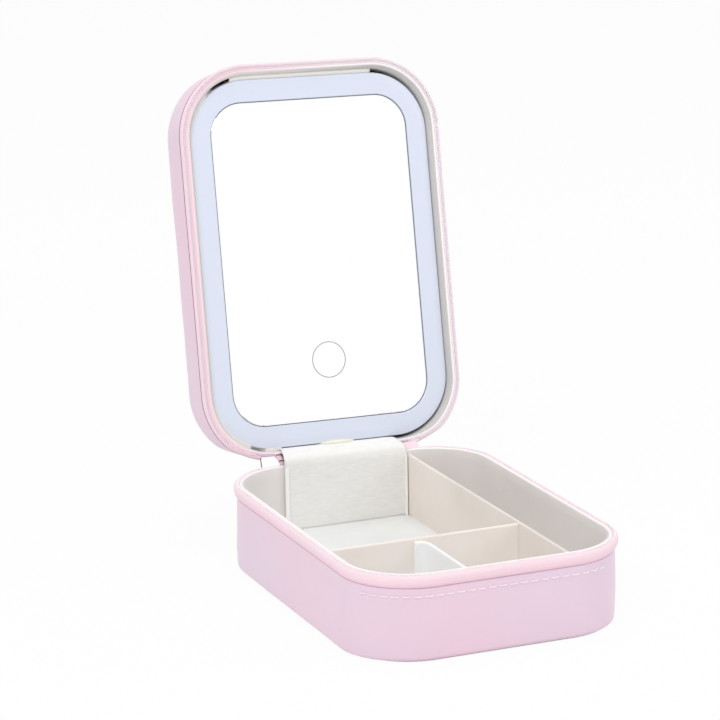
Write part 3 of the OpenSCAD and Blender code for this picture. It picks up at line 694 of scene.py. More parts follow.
# %% [markdown]
# ## The side skins
#
# The side skin goes round the wall, turns over a soft edge and runs in under the board. Between the seam
# and the edge it is a touch fuller, because thin foam lies behind it. Its upper edge is folded in, so it is
# round, and the zipper tape comes out from behind it. A bevelled box has nearly this outline but none of
# the turns, so the section is drawn. The lid's skin is the same section upside down.

# %% Side skins of base and lid
SKIN = 0.8                              # thickness of the leatherette
LID_BACK = LID_H - SKIN + LID_PAD       # where the lid's side skin turns in under its top skin


def arc(cx, cy, r, start, end, n):
    """Points of an arc in n steps, between two angles in degrees."""
    return [(cx + r * math.cos(math.radians(start + (end - start) * i / n)),
             cy + r * math.sin(math.radians(start + (end - start) * i / n))) for i in range(n + 1)]


def upside_down(section, top=0.0):
    """A section turned over for the lid. Its order turns round too, so that its lengths run the same way."""
    return [(out, top - up) for out, up in section][::-1]


def skin_section(height, bulge, turn=2.2):
    """Section of a side skin that stands on its outer edge at height 0 and turns under it."""
    face = []
    for t in range(11):
        out = bulge * math.sin(math.pi * t / 10) ** 0.8 if 0 < t < 10 else 0.0
        face.append((out, turn + 0.2 + (height - turn - 1.0) * t / 10))
    folded_edge = arc(-SKIN, height - SKIN, SKIN, 0, 180, 8)
    inside = [(-1.5, height - 5), (-1.5, 1.0), (-9, 1.0), (-9, 0.1)]
    return face + folded_edge[1:] + inside + arc(-turn, turn, turn, -90, 0, 8)[:-1]


base_section = [(out, up + SKIN) for out, up in skin_section(SEAM - SKIN, 0.35)]
base_skin = loft("base_side_skin", CASE_W, CASE_D, CORNER, base_section, soft=base_softness, step=4.0)
dress(base_skin, outer, "base", "outer_skin", "base_cover")
lid_section = upside_down(skin_section(LID_BACK - LID_SEAM, 0.3, 3.4), LID_BACK)
lid_skin = loft("lid_side_skin", CASE_W, CASE_D, CORNER, lid_section, soft=lid_softness, step=4.0,
                place=lid_place)
dress(lid_skin, outer, "lid", "outer_skin", "lid_cover")

# %% [markdown]
# ## The lid's top skin
#
# The outer face of the lid lies on thick foam. Its skin is pressed down along the edge and rises by about a
# millimetre from there towards the middle, which a few loops of the same outline give. The underside of the
# base has no foam and stays flat, so the CAD plate is kept for it.

# %% Top skin of the lid
PRESSED_IN, PRESSED_UP = 5.1, 0.75      # where the pressed edge ends
CROWN_WIDE, CROWN_UP = 30.0, 0.9        # how far in the crown still rises, and by how much
swell = [(-4.0, LID_BACK - 0.3), (-3.8, LID_BACK + 0.1), (-4.1, LID_BACK + 0.5),
         (-PRESSED_IN, LID_BACK + PRESSED_UP)]
for t in range(1, 11):
    rise = CROWN_UP * (1 - (1 - t / 10) ** 2)
    swell.append((-PRESSED_IN - CROWN_WIDE * t / 10, LID_BACK + PRESSED_UP + rise))
lid_top = loft("lid_top_skin", CASE_W, CASE_D, CORNER, swell, caps=(True, True), shut=False,
               soft=lid_softness, place=lid_place)
dress(lid_top, outer, "lid", "outer_skin", "lid_top_cover")
keep("base_bottom_cover", outer)

# %% [markdown]
# ## Where the zipper ends
#
# The zipper goes round three sides. Its tapes and threads end beside the hinge, a little way into the
# corners. A shorter path could be lofted, but then its points would no longer match those of the skins. So
# the whole loft is made first, the faces at the hinge are taken away, and the two cuts are closed.

# %% Ends of the zipper
BASE_LEFT = 17.0        # ends of the tapes, in degrees of the corner's arc before the straight back
LID_LEFT = 14.0
TAPES_RIGHT = 3.0
TAPE_GAP = 0.25         # each tape stops this far from the plane where base and lid meet


def at_hinge(x, y, left_end, right_end):
    """Whether a point of the outline belongs to the stretch that the zipper leaves to the hinge."""
    left = math.degrees(math.atan2(-(x + STRAIGHT_X), y - STRAIGHT_Y))
    right = math.degrees(math.atan2(x - STRAIGHT_X, y - STRAIGHT_Y))
    return y > STRAIGHT_Y and left < left_end and right < right_end


def zipped(name, section, left_end, soft=None, place=None):
    """Lofts a band round the part that the zipper opens, and takes away the stretch along the hinge."""
    obj = loft(name, CASE_W, CASE_D, CORNER, section, soft=soft, arc_steps=45)
    mesh = obj.data
    centres = [face.center / MM for face in mesh.polygons]
    bm = bmesh.new()
    bm.from_mesh(mesh)
    dropped = [face for face, c in zip(bm.faces, centres) if at_hinge(c.x, c.y, left_end, TAPES_RIGHT)]
    bmesh.ops.delete(bm, geom=dropped, context="FACES")
    bmesh.ops.holes_fill(bm, edges=[edge for edge in bm.edges if edge.is_boundary], sides=0)
    bmesh.ops.recalc_face_normals(bm, faces=bm.faces)
    bm.to_mesh(mesh)
    bm.free()
    if place is not None:
        mesh.transform(place)
    return obj


print("the tapes end", TAPES_RIGHT, "degrees before the straight back on the right")

# %% [markdown]
# ## Tapes of base and lid
#
# The band is folded over where it carries the coil, so it looks like a soft roll with two faint ribs. A
# flat ribbon with a bump map would stay flat in the outline, so the roll is in the section. Upside down,
# the same section makes the lid's tape.

# %% Tapes
def band_section(seam, top):
    """A soft roll from behind the skin up to a crest, a groove inside the crest for the coil, and the inner
    side that is sewn to the lining."""
    rise = top - seam
    foot = [(-0.9, seam - 3), (-0.7, seam - 0.5), (0.1, seam + 0.1), (0.72, seam + 0.75)]
    roll = [(1.25, 0.24), (1.45, 0.33), (1.46, 0.38), (1.72, 0.47), (1.86, 0.59), (1.84, 0.64), (1.88, 0.7),
            (1.76, 0.81), (1.5, 0.9), (1.2, 0.965), (0.9, 0.995)]
    groove = [(0.62, 0.99), (0.5, 0.955), (0.4, 0.9), (-0.45, 0.9), (-0.6, 0.94), (-0.9, 0.975),
              (-1.5, 0.985)]
    inner_side = [(-1.5, seam + 0.4 * rise), (-1.5, seam - 3)]
    return foot + [(out, seam + share * rise) for out, share in roll + groove] + inner_side


base_tape = zipped("base_tape", band_section(SEAM, RIM - TAPE_GAP), BASE_LEFT)
dress(base_tape, tape, "base", "zipper_tape", "base_zipper_tape")
lid_band = upside_down(band_section(-LID_SEAM, -TAPE_GAP))
lid_tape = zipped("lid_tape", lid_band, LID_LEFT, rim_flare, lid_place)
dress(lid_tape, lid_tape_skin, "lid", "zipper_tape", "lid_zipper_tape")

# %% [markdown]
# ## The coil
#
# A coil zipper's teeth are the turns of one nylon thread, wound as a flat spring along the inner side of
# the tape. A copy of one tooth could be repeated round the outline, but the turns of a real coil run on
# into each other. So a flattened helix follows the outline here, one turn each 1.5 mm. The lid's helix is
# half a turn further on, so the turns mesh when the case is shut.

# %% Coil rows
PITCH = 1.5                     # length of one turn along the tape
WIRE_R = 0.26
TURN_OUT, TURN_UP = 0.5, 0.62   # half the width and half the height of a turn
COIL_IN = 0.02                  # the winding's middle lies this far inside the outline
COIL_DOWN = 0.42                # and this far from the plane where base and lid meet
COIL_LEFT, COIL_RIGHT = 20.0, 17.5      # ends of the coils, in degrees like those of the tapes


def one_mesh(parts):
    """Puts several lists of points and faces together."""
    verts, faces = [], []
    for more_verts, more_faces in parts:
        faces += [tuple(len(verts) + i for i in face) for face in more_faces]
        verts += more_verts
    return verts, faces


def coil(name, centre_up, phase, sign, soft=None, place=None):
    """A flattened helix along the outline, with a gap at the hinge."""
    path = outline(CASE_W - 2 * COIL_IN, CASE_D - 2 * COIL_IN, CORNER - COIL_IN, 1.0, 60)
    lengths = [0.0]
    for i in range(1, len(path)):
        lengths.append(lengths[-1] + math.dist(path[i][0], path[i - 1][0]))
    sides, turn_steps = 6, 10
    stretches = [[]]
    k = 0
    for s in range(int(lengths[-1] / PITCH * turn_steps)):
        run = s / turn_steps * PITCH
        while k < len(lengths) - 2 and lengths[k + 1] < run:
            k += 1
        t = (run - lengths[k]) / max(lengths[k + 1] - lengths[k], 1e-6)
        here, ahead = path[k][0] + path[k][1], path[k + 1][0] + path[k + 1][1]
        px, py, nx, ny = (a + (b - a) * t for a, b in zip(here, ahead))
        if at_hinge(px, py, COIL_LEFT, COIL_RIGHT):
            if stretches[-1]:
                stretches.append([])
            continue
        turn = 2 * math.pi * (s / turn_steps + phase)
        c, sn = math.cos(turn), math.sin(turn)
        out = TURN_OUT * c + (soft(px, py, centre_up) if soft else 0.0)
        middle = Vector((px + nx * out, py + ny * out, centre_up + sign * TURN_UP * sn))
        radial = Vector((nx * c, ny * c, sign * sn)).normalized()
        along = Vector((-ny, nx, 0))
        for q in range(sides):
            a = 2 * math.pi * q / sides
            stretches[-1].append(tuple(middle + (radial * math.cos(a) + along * math.sin(a)) * WIRE_R))
    parts = [(points, loop_faces(len(points) // sides, sides, caps=(True, True))) for points in stretches]
    return mesh_object(name, *one_mesh(parts), place=place, smooth=80)


base_coil = coil("base_coil", RIM - COIL_DOWN, 0.0, 1)
dress(base_coil, nylon, "base", "zipper_teeth", "base_zipper_teeth")
lid_coil = coil("lid_coil", COIL_DOWN, 0.5, -1, rim_flare, lid_place)
dress(lid_coil, nylon, "lid", "zipper_teeth", "lid_zipper_teeth")
keep("zipper_end_stop", nylon)

# %% [markdown]
# ## Seam threads
#
# A dark mauve line runs where the tape leaves the skin: that is the seam's thread in the shadow of the fold.
# A dark line could be painted into the skin's colour, but it would blur close up and stay flat. So a thin
# thread is laid there, dark with painted shadow, with the same ends as its tape.

# %% Seam threads
def thread_section(out, up, radius):
    return arc(out, up, radius, 0, 360, 8)[:-1]


# Partly the seam's thread and partly painted shadow: a dark thread where the tape leaves the skin.
base_shadow_thread = zipped("base_seam_line", thread_section(-0.28, SEAM + 0.02, 0.34), BASE_LEFT)
dress(base_shadow_thread, seam_thread_shadow, "base", "zipper_tape")
lid_shadow_thread = zipped("lid_seam_line", thread_section(1.5, LID_SEAM - 3.0, 0.42), LID_LEFT, rim_flare,
                    lid_place)
dress(lid_shadow_thread, lid_thread_shadow, "lid", "zipper_tape")

# %% [markdown]
# ## Top-stitching on the front
#
# Only the front of the base is top-stitched, with white thread, a stitch each 5.8 mm. A dashed texture has
# no height, so each stitch is a short thread that dips into the skin at both ends. The machine is never
# quite even, which a very small random step in height gives. All stitches are one mesh.

# %% Top-stitching
STITCH_UP = 35.0
STITCH_PITCH, STITCH, STITCH_R = 5.8, 3.7, 0.4      # from start to start, its length, its radius
ROW_START, ROW_END = -79.4, 57.0                    # along the front, from its middle


def front_point(s):
    """The outline's point and outward direction at a length s along the front, from its middle."""
    a = max(abs(s) - STRAIGHT_X, 0.0) / CORNER
    x = math.copysign(min(abs(s), STRAIGHT_X) + CORNER * math.sin(a), s)
    y = -CASE_D / 2 + CORNER * (1 - math.cos(a))
    return x, y, Vector((math.copysign(math.sin(a), s), -math.cos(a), 0))


random.seed(4)
stitches = []
stitch_start = ROW_START
while stitch_start < ROW_END:
    points = []
    for i in range(9):
        x, y, out = front_point(stitch_start + STITCH * i / 8)
        up = STITCH_UP + random.uniform(-0.04, 0.04)
        lift = 0.15 + 0.42 * math.sin(math.pi * i / 8) ** 0.6
        points.append(Vector((x, y, up)) + out * lift)
    stitches.append(round_thread(points, STITCH_R))
    stitch_start += STITCH_PITCH
front_stitches = mesh_object("front_stitches", *one_mesh(stitches), smooth=60)
dress(front_stitches, thread, "base", "outer_skin")
print(len(stitches), "stitches")

# %% [markdown]
# ## Wall linings
#
# The lining is glued to the board and turned over its upper edge. In the base it stands straight. In the
# lid it slopes out with the soft rim, so it asks `lining_flare`. The lid's wall board slopes too, and its
# CAD solid is straight, so the board is made anew.

# %% Wall linings and the lid's wall board
LINING_FOOT, LINING_TOP = 4.2, 45.7
base_wall = [(-3.1, LINING_FOOT), (-3.1, LINING_TOP), (-3.3, 46.1), (-3.6, 46.1)]
base_wall += [(-3.8, LINING_TOP + (LINING_FOOT - LINING_TOP) * t / 8) for t in range(9)]
base_lining = loft("base_wall_lining", CASE_W, CASE_D, CORNER, base_wall)
dress(base_lining, shaded_wall_lining, "base", "lining", "base_lining")
lid_wall = [(-2.5, 0.9), (-2.5, 4.6), (-2.5, 23.5)]
lid_wall += [(-2.9, up) for up in (23.5, 14.0, 6.0, 4.6, 2.8, 0.9)]
lid_lining = loft("lid_wall_lining", CASE_W, CASE_D, CORNER, lid_wall, soft=lining_flare, place=lid_place)
dress(lid_lining, lid_lining_with_shade, "lid", "lining", "lid_lining")
CARD_LOW, CARD_HIGH = 2.8, 27.2
lid_card = [(-1.6, CARD_LOW), (-1.6, CARD_HIGH)]
lid_card += [(-2.4, CARD_HIGH + (CARD_LOW - CARD_HIGH) * t / 6) for t in range(7)]
lid_board = loft("lid_wall_card", CASE_W, CASE_D, CORNER, lid_card, soft=rim_flare, place=lid_place)
dress(lid_board, board, "lid", "greyboard", "lid_wall_board")

# %% [markdown]
# ## Turned edges
#
# The wall's top is closed by a narrow strip of the same leatherette, turned over it. It is rounder than a
# bevel would make it, because the skin is thick for its width. The lid has the same edge, thinner.

# %% Turned edges
def edge_section(outer_side, inner_side, low, high):
    """A turned edge between two depths inside the outline: straight sides and a soft round top."""
    r = (inner_side - outer_side) / 2
    middle = -(inner_side + outer_side) / 2
    top = [(middle + r * c, high - r * 0.75 + r * 0.75 * s) for c, s in arc(0, 0, 1, 0, 180, 12)]
    return [(-inner_side, low), (-outer_side, low)] + top


base_edge = loft("base_turned_edge", CASE_W, CASE_D, CORNER, edge_section(1.5, 3.05, 43.9, 46.5))
dress(base_edge, binding, "base", "edge_binding", "base_rim_binding")
lid_edge = loft("lid_turned_edge", CASE_W, CASE_D, CORNER, upside_down(edge_section(1.5, 2.75, -2.7, -0.5)),
                soft=rim_flare, place=lid_place)
dress(lid_edge, lid_edge_with_shade, "lid", "edge_binding", "lid_rim_binding")

# %% [markdown]
# ## Fold of the lining beside the panel
#
# On the left the panel sits close to the wall, and the lining is folded onto its side there, so no dark gap
# shows as it does on the right and at the hinge. A wider lining would close the gap all round, so the fold
# is a narrow strip of its own, level with the panel's face. It sinks out of sight at its far end, and once
# near the hinge, where the photograph shows the dark gap again.

# %% Fold beside the panel
FOLD_START, FOLD_END = -58.0, 114.0     # in degrees round the corners at both ends of the left side
FOLD_OUT, FOLD_IN = 2.7, 5.4            # how far inside the outline its two edges lie
FOLD_SINK = 5.0                         # how deep it lies where it is out of sight
rows = [[], [], [], []]
for i in range(61):
    a = FOLD_START + (FOLD_END - FOLD_START) * i / 60
    turn = math.radians(min(a, 90))
    n = Vector((-math.cos(turn), math.sin(turn)))
    p = Vector((-STRAIGHT_X + 0.2 * max(a - 90, 0.0), math.copysign(STRAIGHT_Y, a))) + n * CORNER
    sunk = between(-a, -FOLD_START - 14, -FOLD_START) + between(a, 65, 71) * (1 - between(a, 78, 83))
    for k, row in enumerate(rows):
        inward = FOLD_OUT + (FOLD_IN - FOLD_OUT) * k / 3
        row.append((p.x - n.x * inward, p.y - n.y * inward, PANEL_FACE + 0.35 + FOLD_SINK * sunk))
dress(strip("lid_side_fold", rows, 0.4, lid_place), lid_lining_with_shade, "lid", "lining")

# %% [markdown]
# ## The padded floor
#
# The floor is foam under brushed fabric. It sinks a little along the walls and at the feet of the dividers,
# which press on it. Cloth simulation would find that sink too, but it is so shallow that a formula gives it
# at once: a grid is fitted to the rounded outline, and its height falls off near each wall and divider.

# %% Height of the pad
INNER = 3.9                                     # the wall's inner side, inside the outline
LONG_X, CROSS_Y, FRONT_X = 38.6, -41.3, -15.8   # where the three dividers stand
PAD_FOOT = 4.1


def half_width(y):
    """Half the inner width of the base at a place y."""
    over = max(0.0, abs(y) - STRAIGHT_Y)
    r = CORNER - INNER
    return STRAIGHT_X + math.sqrt(max(r * r - over * over, 0.0))


def sink(distance):
    """How deep the pad is pressed at a distance from what presses it."""
    return 0.4 * math.exp(-max(distance, 0) / 2.2)


def pad_height(x, y):
    wall = min(half_width(y) - abs(x), CASE_D / 2 - INNER - abs(y))
    h = FLOOR - sink(wall) - sink(abs(x - LONG_X) - 1)
    if x < LONG_X:
        h -= sink(abs(y - CROSS_Y) - 1)
    if x < LONG_X and y < CROSS_Y:
        h -= sink(abs(x - FRONT_X) - 1)
    return h + 0.12 * noise.noise(Vector((x, y, 0)) * 0.06)


print("the pad's top is at", round(pad_height(0, 0), 1), "mm in the middle")

# %% [markdown]
# ## The pad's mesh
#
# The grid's columns draw together where the corners round off, and its rows lie closer near the front and
# the back, where the outline turns. The underside is the same grid laid flat, and a band of quads round
# the border closes the pad, so it is one solid cushion.

# %% Pad
ys = [-(CASE_D / 2 - INNER) * math.cos(math.pi * j / 120) for j in range(121)]
xs = [-math.cos(math.pi * i / 100) for i in range(101)]
top = [(u * half_width(y * 0.9999), y, pad_height(u * half_width(y), y)) for y in ys for u in xs]
faces = grid_faces(len(ys), len(xs))
below = len(top)
faces += [tuple(below + i for i in face[::-1]) for face in faces]
last = below - len(xs)
border = list(range(len(xs))) + list(range(2 * len(xs) - 1, below, len(xs)))
border += list(range(below - 2, last - 1, -1)) + list(range(last - len(xs), 0, -len(xs)))
faces += [(b, a, below + a, below + b) for a, b in zip(border, border[1:] + border[:1])]
floor_pad = mesh_object("padded_floor", top + [(x, y, PAD_FOOT) for x, y, _ in top], faces)
dress(floor_pad, velvet, "base", "floor_fabric", "base_floor_pad")

# %% [markdown]
# ## Dividers
#
# A divider is a card wrapped in the lining, so its top edge is a round fold that catches the light. Three
# boxes with bevels would do for the straight ones. But the front divider turns into the cross divider in a
# small curve, so a section is carried along a path for all three.

# %% Wrapped cards
CARD = 2.0
CARD_FOOT = FLOOR - 1.5     # the cards press into the pad


def wrapped_card(name, path, high):
    """A card along a path in plan, with a round folded top edge."""
    half = CARD / 2
    section = [(half, CARD_FOOT)] + arc(0, high - half, half, 0, 180, 12) + [(-half, CARD_FOOT)]
    verts = []
    for i, p in enumerate(path):
        d = (Vector(path[min(i + 1, len(path) - 1)]) - Vector(path[max(i - 1, 0)])).normalized()
        verts += [(p[0] - d.y * out, p[1] + d.x * out, up) for out, up in section]
    return mesh_object(name, verts, loop_faces(len(path), len(section), caps=(True, True)), smooth=40)


reach = CASE_D / 2 - INNER
long_path = [(LONG_X + 0.12 * math.sin(t / 5), -reach + 2 * reach * t / 24) for t in range(25)]
dress(wrapped_card("long_card", long_path, RIM - 2.2), long_skin, "base", "lining", "long_divider")
CROSS_END = -71.05
cross_path = [(CROSS_END + (LONG_X - 1 - CROSS_END) * t / 16, CROSS_Y) for t in range(17)]
dress(wrapped_card("cross_card", cross_path, RIM - 2.8), lining, "base", "lining", "cross_divider")
BEND = 5.0                          # radius of the curve into the cross divider
beside_cross = CROSS_Y - 1.2
bend_y = beside_cross - BEND
front_path = [(FRONT_X, -reach + (reach + bend_y) * t / 10) for t in range(11)]
front_path += arc(FRONT_X - BEND, bend_y, BEND, 0, 90, 9)[1:] + [(FRONT_X - 6.5, beside_cross)]
dress(wrapped_card("front_card", front_path, RIM - 4.6), white_card, "base", "lining", "front_divider")

# %% [markdown]
# ## Paths across the hinge
#
# The flap and the outer strip both cross the hinge, so one end follows the base and the other the leaning
# lid. They could be draped by simulation, but their paths are plain, so a smooth curve through a few points
# is their middle line. Points of the lid are written in its shut drawing and turned open here.

# %% Paths across the hinge
def on_lid(y, up):
    """Where a point of the lid's shut drawing comes to lie in the open case, at the middle of the hinge."""
    p = lid_place @ (Vector((0, y, up)) * MM)
    return (p.y / MM, p.z / MM)


def smooth_path(points, steps):
    """A smooth curve that passes through each of its (y, z) points."""
    result = []
    for i in range(len(points) - 1):
        p0, p1 = points[max(i - 1, 0)], points[i]
        p2, p3 = points[i + 1], points[min(i + 2, len(points) - 1)]
        for s in range(steps):
            t = s / steps
            result.append(tuple(0.5 * (2 * b + (c - a) * t + (2 * a - 5 * b + 4 * c - d) * t * t
                                       + (3 * b - a - 3 * c + d) * t ** 3)
                                for a, b, c, d in zip(p0, p1, p2, p3)))
    return result + [points[-1]]


def lean(x, share):
    """How far the slanted hinge moves a point beside the middle, by its share in the lid's motion."""
    return (lid_place.to_3x3() @ Vector((x, 0, 0)) - Vector((x, 0, 0))) * share


print("the flap is tucked in at", [round(x, 1) for x in on_lid(104.0, PANEL_FACE)], "mm")

# %% [markdown]
# ## The inner flap
#
# The inner flap is one sheet. It starts on the floor, climbs the back wall, bridges the hinge and is tucked
# in below the mirror. It is drawn for the open case, in one piece, because two rigid halves would tear at the
# hinge when the lid moves. Each row of points is as wide as the flap is there, with a pressed line beside its
# edges and a slow ripple.

# %% Inner flap
FLAP_HALF = 36.9        # half its width on the wall
FLAP_NARROWS = 2.2      # how much narrower each side is at the lid
FLAP_ROUND = 3.2        # how much its right corner is rounded off there
HEM = 2.4
up_the_wall = [(103.6, 8.8), (103.5, 22), (103.45, 36), (103.5, 43.2), (103.8, 46.6)]
over_the_hinge = [(105.2, 49.3), (109.0, 51.0), (114.2, 52.0)]
below_the_mirror = [on_lid(104.0, PANEL_FACE - 0.2), on_lid(104.6, 10.0)]
flap_line = smooth_path(up_the_wall + over_the_hinge + below_the_mirror, 6)
rows = []
for y, z in flap_line:
    row = []
    near_end = rising(y, 113.5, 4.5)
    for i in range(49):
        u = -1 + 2 * i / 48
        round_corner = FLAP_ROUND * (1 - math.sqrt(1 - near_end * near_end)) if u > 0 else 0.0
        half = FLAP_HALF - FLAP_NARROWS * rising(y, 104.5, 12.0) - round_corner
        x = half * u
        from_edge = half - abs(x)
        pressed = 0.25 * math.exp(-((from_edge - HEM - 0.6) / 0.7) ** 2)
        hem = max(0.35 * math.exp(-(from_edge / HEM) ** 4) - pressed, -0.2)
        ripple = 0.16 * noise.noise(Vector((x * 0.05, z * 0.09, 3.0)))
        move = lean(x, rising(z, 44.0, 8.0))
        row.append((x + move.x, y + move.y - hem + ripple, z + move.z))
    rows.append(row)
flap = strip("inner_flap", rows, 0.6)
dress(flap, crinkle, None, "lining", "hinge_flap_wall", "hinge_flap_span", "hinge_flap_lid")
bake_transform(flap)

# %% [markdown]
# ## Hems of the flap
#
# The flap's two sides are folded over and stitched down, which gives a smooth, raised border, wider on the
# left. A fold of the sheet itself would need a doubled grid, so each hem is a flattened tube laid on the
# flap, from the floor to where the flap bends.

# %% Hems
def flap_hem(name, side, width, high):
    """A narrow fold along one side of the flap, up to a height."""
    path = [(y, z) for y, z in flap_line if z < high and y < 104.2]
    middle = side * (FLAP_HALF - width / 2 + 0.2)
    circle = arc(0, 0, 1, 0, 360, 12)[:-1]
    verts = [(middle + c * width / 2, y - 0.75 - n * 0.55, z) for y, z in path for c, n in circle]
    faces = loop_faces(len(path), len(circle), caps=(True, True))
    dress(mesh_object(name, verts, faces, smooth=60), hem_skin, "base", "lining")


flap_hem("left_hem", -1, 2.4, 45.5)
flap_hem("right_hem", 1, 1.3, 44.0)

# %% [markdown]
# ## The outer strip
#
# Outside, a strip of the leatherette is glued over both side skins and is the real hinge of the case. Like
# the flap it could be two rigid halves, but cloth doesn't break at a line, so it is one sheet.

# %% Outer strip
strip_line = smooth_path([(107.2, 36.4), (107.2, 39.4), (108.3, 41.6), (110.0, 43.9), (111.3, 45.5),
                          on_lid(109.8, 2.6), on_lid(108.2, 5.8), on_lid(107.2, 8.4), on_lid(107.2, 11.5)], 5)
rows = []
for y, z in strip_line:
    row = []
    for i in range(41):
        x = FLAP_HALF * (-1 + 2 * i / 40)
        move = lean(x, rising(y, 108.0, 6.0))
        row.append((x + move.x, y + move.y, z + move.z))
    rows.append(row)
outer_strip = strip("outer_hinge_strip", rows, 0.8)
dress(outer_strip, outer, None, "outer_skin", "hinge_strip_base", "hinge_strip_lid")
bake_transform(outer_strip)

# %% [markdown]
# ## Skin beside the hinge
#
# The tapes stop a little before the hinge strip on both sides. There the outer skin itself is drawn up over
# the edge of each wall and glued down inside, so no board is left bare when the case is shut. The side skin
# could be cut to do this, but four small patches with the same turned section are easier to place.

# %% Patches beside the hinge
def edge_patch(name, section, x_from, x_to, body, place=None):
    """A patch of skin folded over a wall's edge along a short piece of the back."""
    rows = []
    for out, up in section:
        row = []
        for i in range(13):
            x = x_from + (x_to - x_from) * i / 12
            turn = math.asin(max(abs(x) - STRAIGHT_X, 0.0) / CORNER)
            n = Vector((math.copysign(math.sin(turn), x), math.cos(turn)))
            row.append((x + n.x * out, STRAIGHT_Y + CORNER * math.cos(turn) + n.y * out, up))
        rows.append(row)
    dress(strip(name, rows, 0.5, place), outer, body, "outer_skin")


PATCHES = {"left": (-53.0, -35.5), "right": (35.5, 42.5)}
base_fold = [(-0.95, SEAM - 2.0), (-0.9, SEAM), (-0.75, SEAM + 2.5), (-0.75, RIM - 1.0), (-1.0, RIM - 0.45),
             (-1.4, RIM - 0.3)]
lid_fold = [(-0.95, LID_SEAM + 2.0), (-0.9, LID_SEAM)] + [(out, RIM - up - 0.05) for out, up in base_fold[2:]]
for side, (x_from, x_to) in PATCHES.items():
    edge_patch("base_fold_" + side, base_fold, x_from, x_to, "base")
    edge_patch("lid_fold_" + side, lid_fold, x_from, x_to, "lid", lid_place)

# %% [markdown]
# ## Tape end beside the flap
#
# Left of the flap the end of the tape is tacked to the hinge with two dark stitches. The end is a small sheet
# over a listed line, and the tacks are short threads on it.

# %% Tape end and tacks
TAPE_END = [(-35.6, 108.2, 44.6), (-36.2, 109.6, 47.0), (-37.0, 111.2, 49.6), (-37.6, 112.6, 51.6)]
TAPE_END_WIDE = 3.2
rows = []
for x, y, z in TAPE_END:
    rows.append([(x + TAPE_END_WIDE * (u - 0.5), y - 0.3 * u, z + 0.5 * math.sin(math.pi * u))
                 for u in (0, 0.25, 0.5, 0.75, 1)])
tape_end = strip("tape_end", rows, 0.5)
dress(tape_end, tape, None, "zipper_tape")
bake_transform(tape_end)
TACKS = {"tack_low": (1, 0.35), "tack_high": (2, 0.7)}     # after which point of the line, and how far on
for name, (k, t) in TACKS.items():
    x, y, z = (a + (b - a) * t for a, b in zip(TAPE_END[k], TAPE_END[k + 1]))
    over_tape = [(x - 1.5, y - 0.5, z + 0.2), (x, y - 0.8, z + 0.55), (x + 1.5, y - 0.9, z + 0.2)]
    tack = tube(name, over_tape, 0.28)
    dress(tack, tail, None, "zipper_tape")
    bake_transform(tack)

# %% [markdown]
# ## The light frame
#
# The frosted frame is one ring between two rounded rectangles of different corners, with its edges broken.
# A bevelled hole in a plate gives corners that don't match, so the ring goes from the outer outline over
# the face to the inner one, loop by loop.

# %% Light frame
PANEL_W, PANEL_R = 143.2, 33.6
PANEL_NEAR, PANEL_FAR = 103.3, -102.9       # its ends near the hinge and far from it
PANEL_L = PANEL_NEAR - PANEL_FAR
PANEL_Y = (PANEL_NEAR + PANEL_FAR) / 2
GLASS_W = PANEL_W - 2 * 11.9                # the light frame is 11.9 mm wide beside the mirror
GLASS_L = PANEL_L - 2 * 12.4                # and 12.4 mm wide at its ends
GLASS_R = 19.0


def face_ring(name, outside, inside, section, place):
    """A flat frame: loops of rounded rectangles from the outer edge over the face to the inner edge."""
    verts = []
    for share, off, up in section:
        w, d, r = (a + (b - a) * share for a, b in zip(outside, inside))
        verts += [(x, y + PANEL_Y, up) for (x, y), _ in outline(w + 2 * off, d + 2 * off, r + off, 6.0, 24)]
    faces = loop_faces(len(section), len(verts) // len(section), closed=True)
    return mesh_object(name, verts, faces, place=place)


outer_edge = [(0, 0, PANEL_FACE + 3), (0, 0, PANEL_FACE + 0.8), (0, -0.25, PANEL_FACE + 0.25)]
face = [(0, -0.8, PANEL_FACE), (0.5, 0, PANEL_FACE - 0.05), (1, 0.4, PANEL_FACE)]
inner_edge = [(1, 0.05, PANEL_FACE + 0.3), (1, 0, PANEL_FACE + 3)]
light = face_ring("light_frame_ring", (PANEL_W, PANEL_L, PANEL_R), (GLASS_W, GLASS_L, GLASS_R),
                  outer_edge + face + inner_edge, lid_place)
dress(light, frosted, "lid", "frosted_frame", "light_frame")

# %% [markdown]
# ## Mirror and touch ring
#
# The mirror lies in the frame, almost level with its face, with a ground bevel that shows as a dark line.
# One bevelled plate would need two materials, so the ground edge is a thin ring of its own. The ring to
# touch is printed on the glass. Ink is flat, but a ring with a little height doesn't flicker in the glass.

# %% Mirror and touch ring
mirror_section = [(-0.2, PANEL_FACE + 3.0), (-0.2, PANEL_FACE + 0.75), (-0.95, PANEL_FACE + 0.32)]
mirror = loft("mirror_plate", GLASS_W, GLASS_L, GLASS_R, mirror_section, y=PANEL_Y, caps=(True, True),
              shut=False, place=lid_place, smooth=10)
dress(mirror, silver, "lid", "mirror_silver", "mirror_glass")
rim_section = [(-0.16, PANEL_FACE + 2), (-0.16, PANEL_FACE + 0.62), (-0.42, PANEL_FACE + 0.5),
               (-0.5, PANEL_FACE + 2)]
mirror_rim = loft("mirror_ground_edge", GLASS_W, GLASS_L, GLASS_R, rim_section, y=PANEL_Y, place=lid_place)
dress(mirror_rim, glass_edge, "lid", "mirror_silver")
RING_Y = PANEL_NEAR - 46.5
RING_OUT, RING_IN = 10.2, 9.75      # its two radii
RING_LOW, RING_HIGH = PANEL_FACE + 0.34, PANEL_FACE + 0.28
verts = []
for r, up in ((RING_OUT, RING_LOW), (RING_OUT, RING_HIGH), (RING_IN, RING_HIGH), (RING_IN, RING_LOW)):
    verts += [(x, y, up) for x, y in arc(0, RING_Y, r, 0, 360, 96)[:-1]]
touch = mesh_object("touch_ring_print", verts, loop_faces(4, 96, closed=True), place=lid_place)
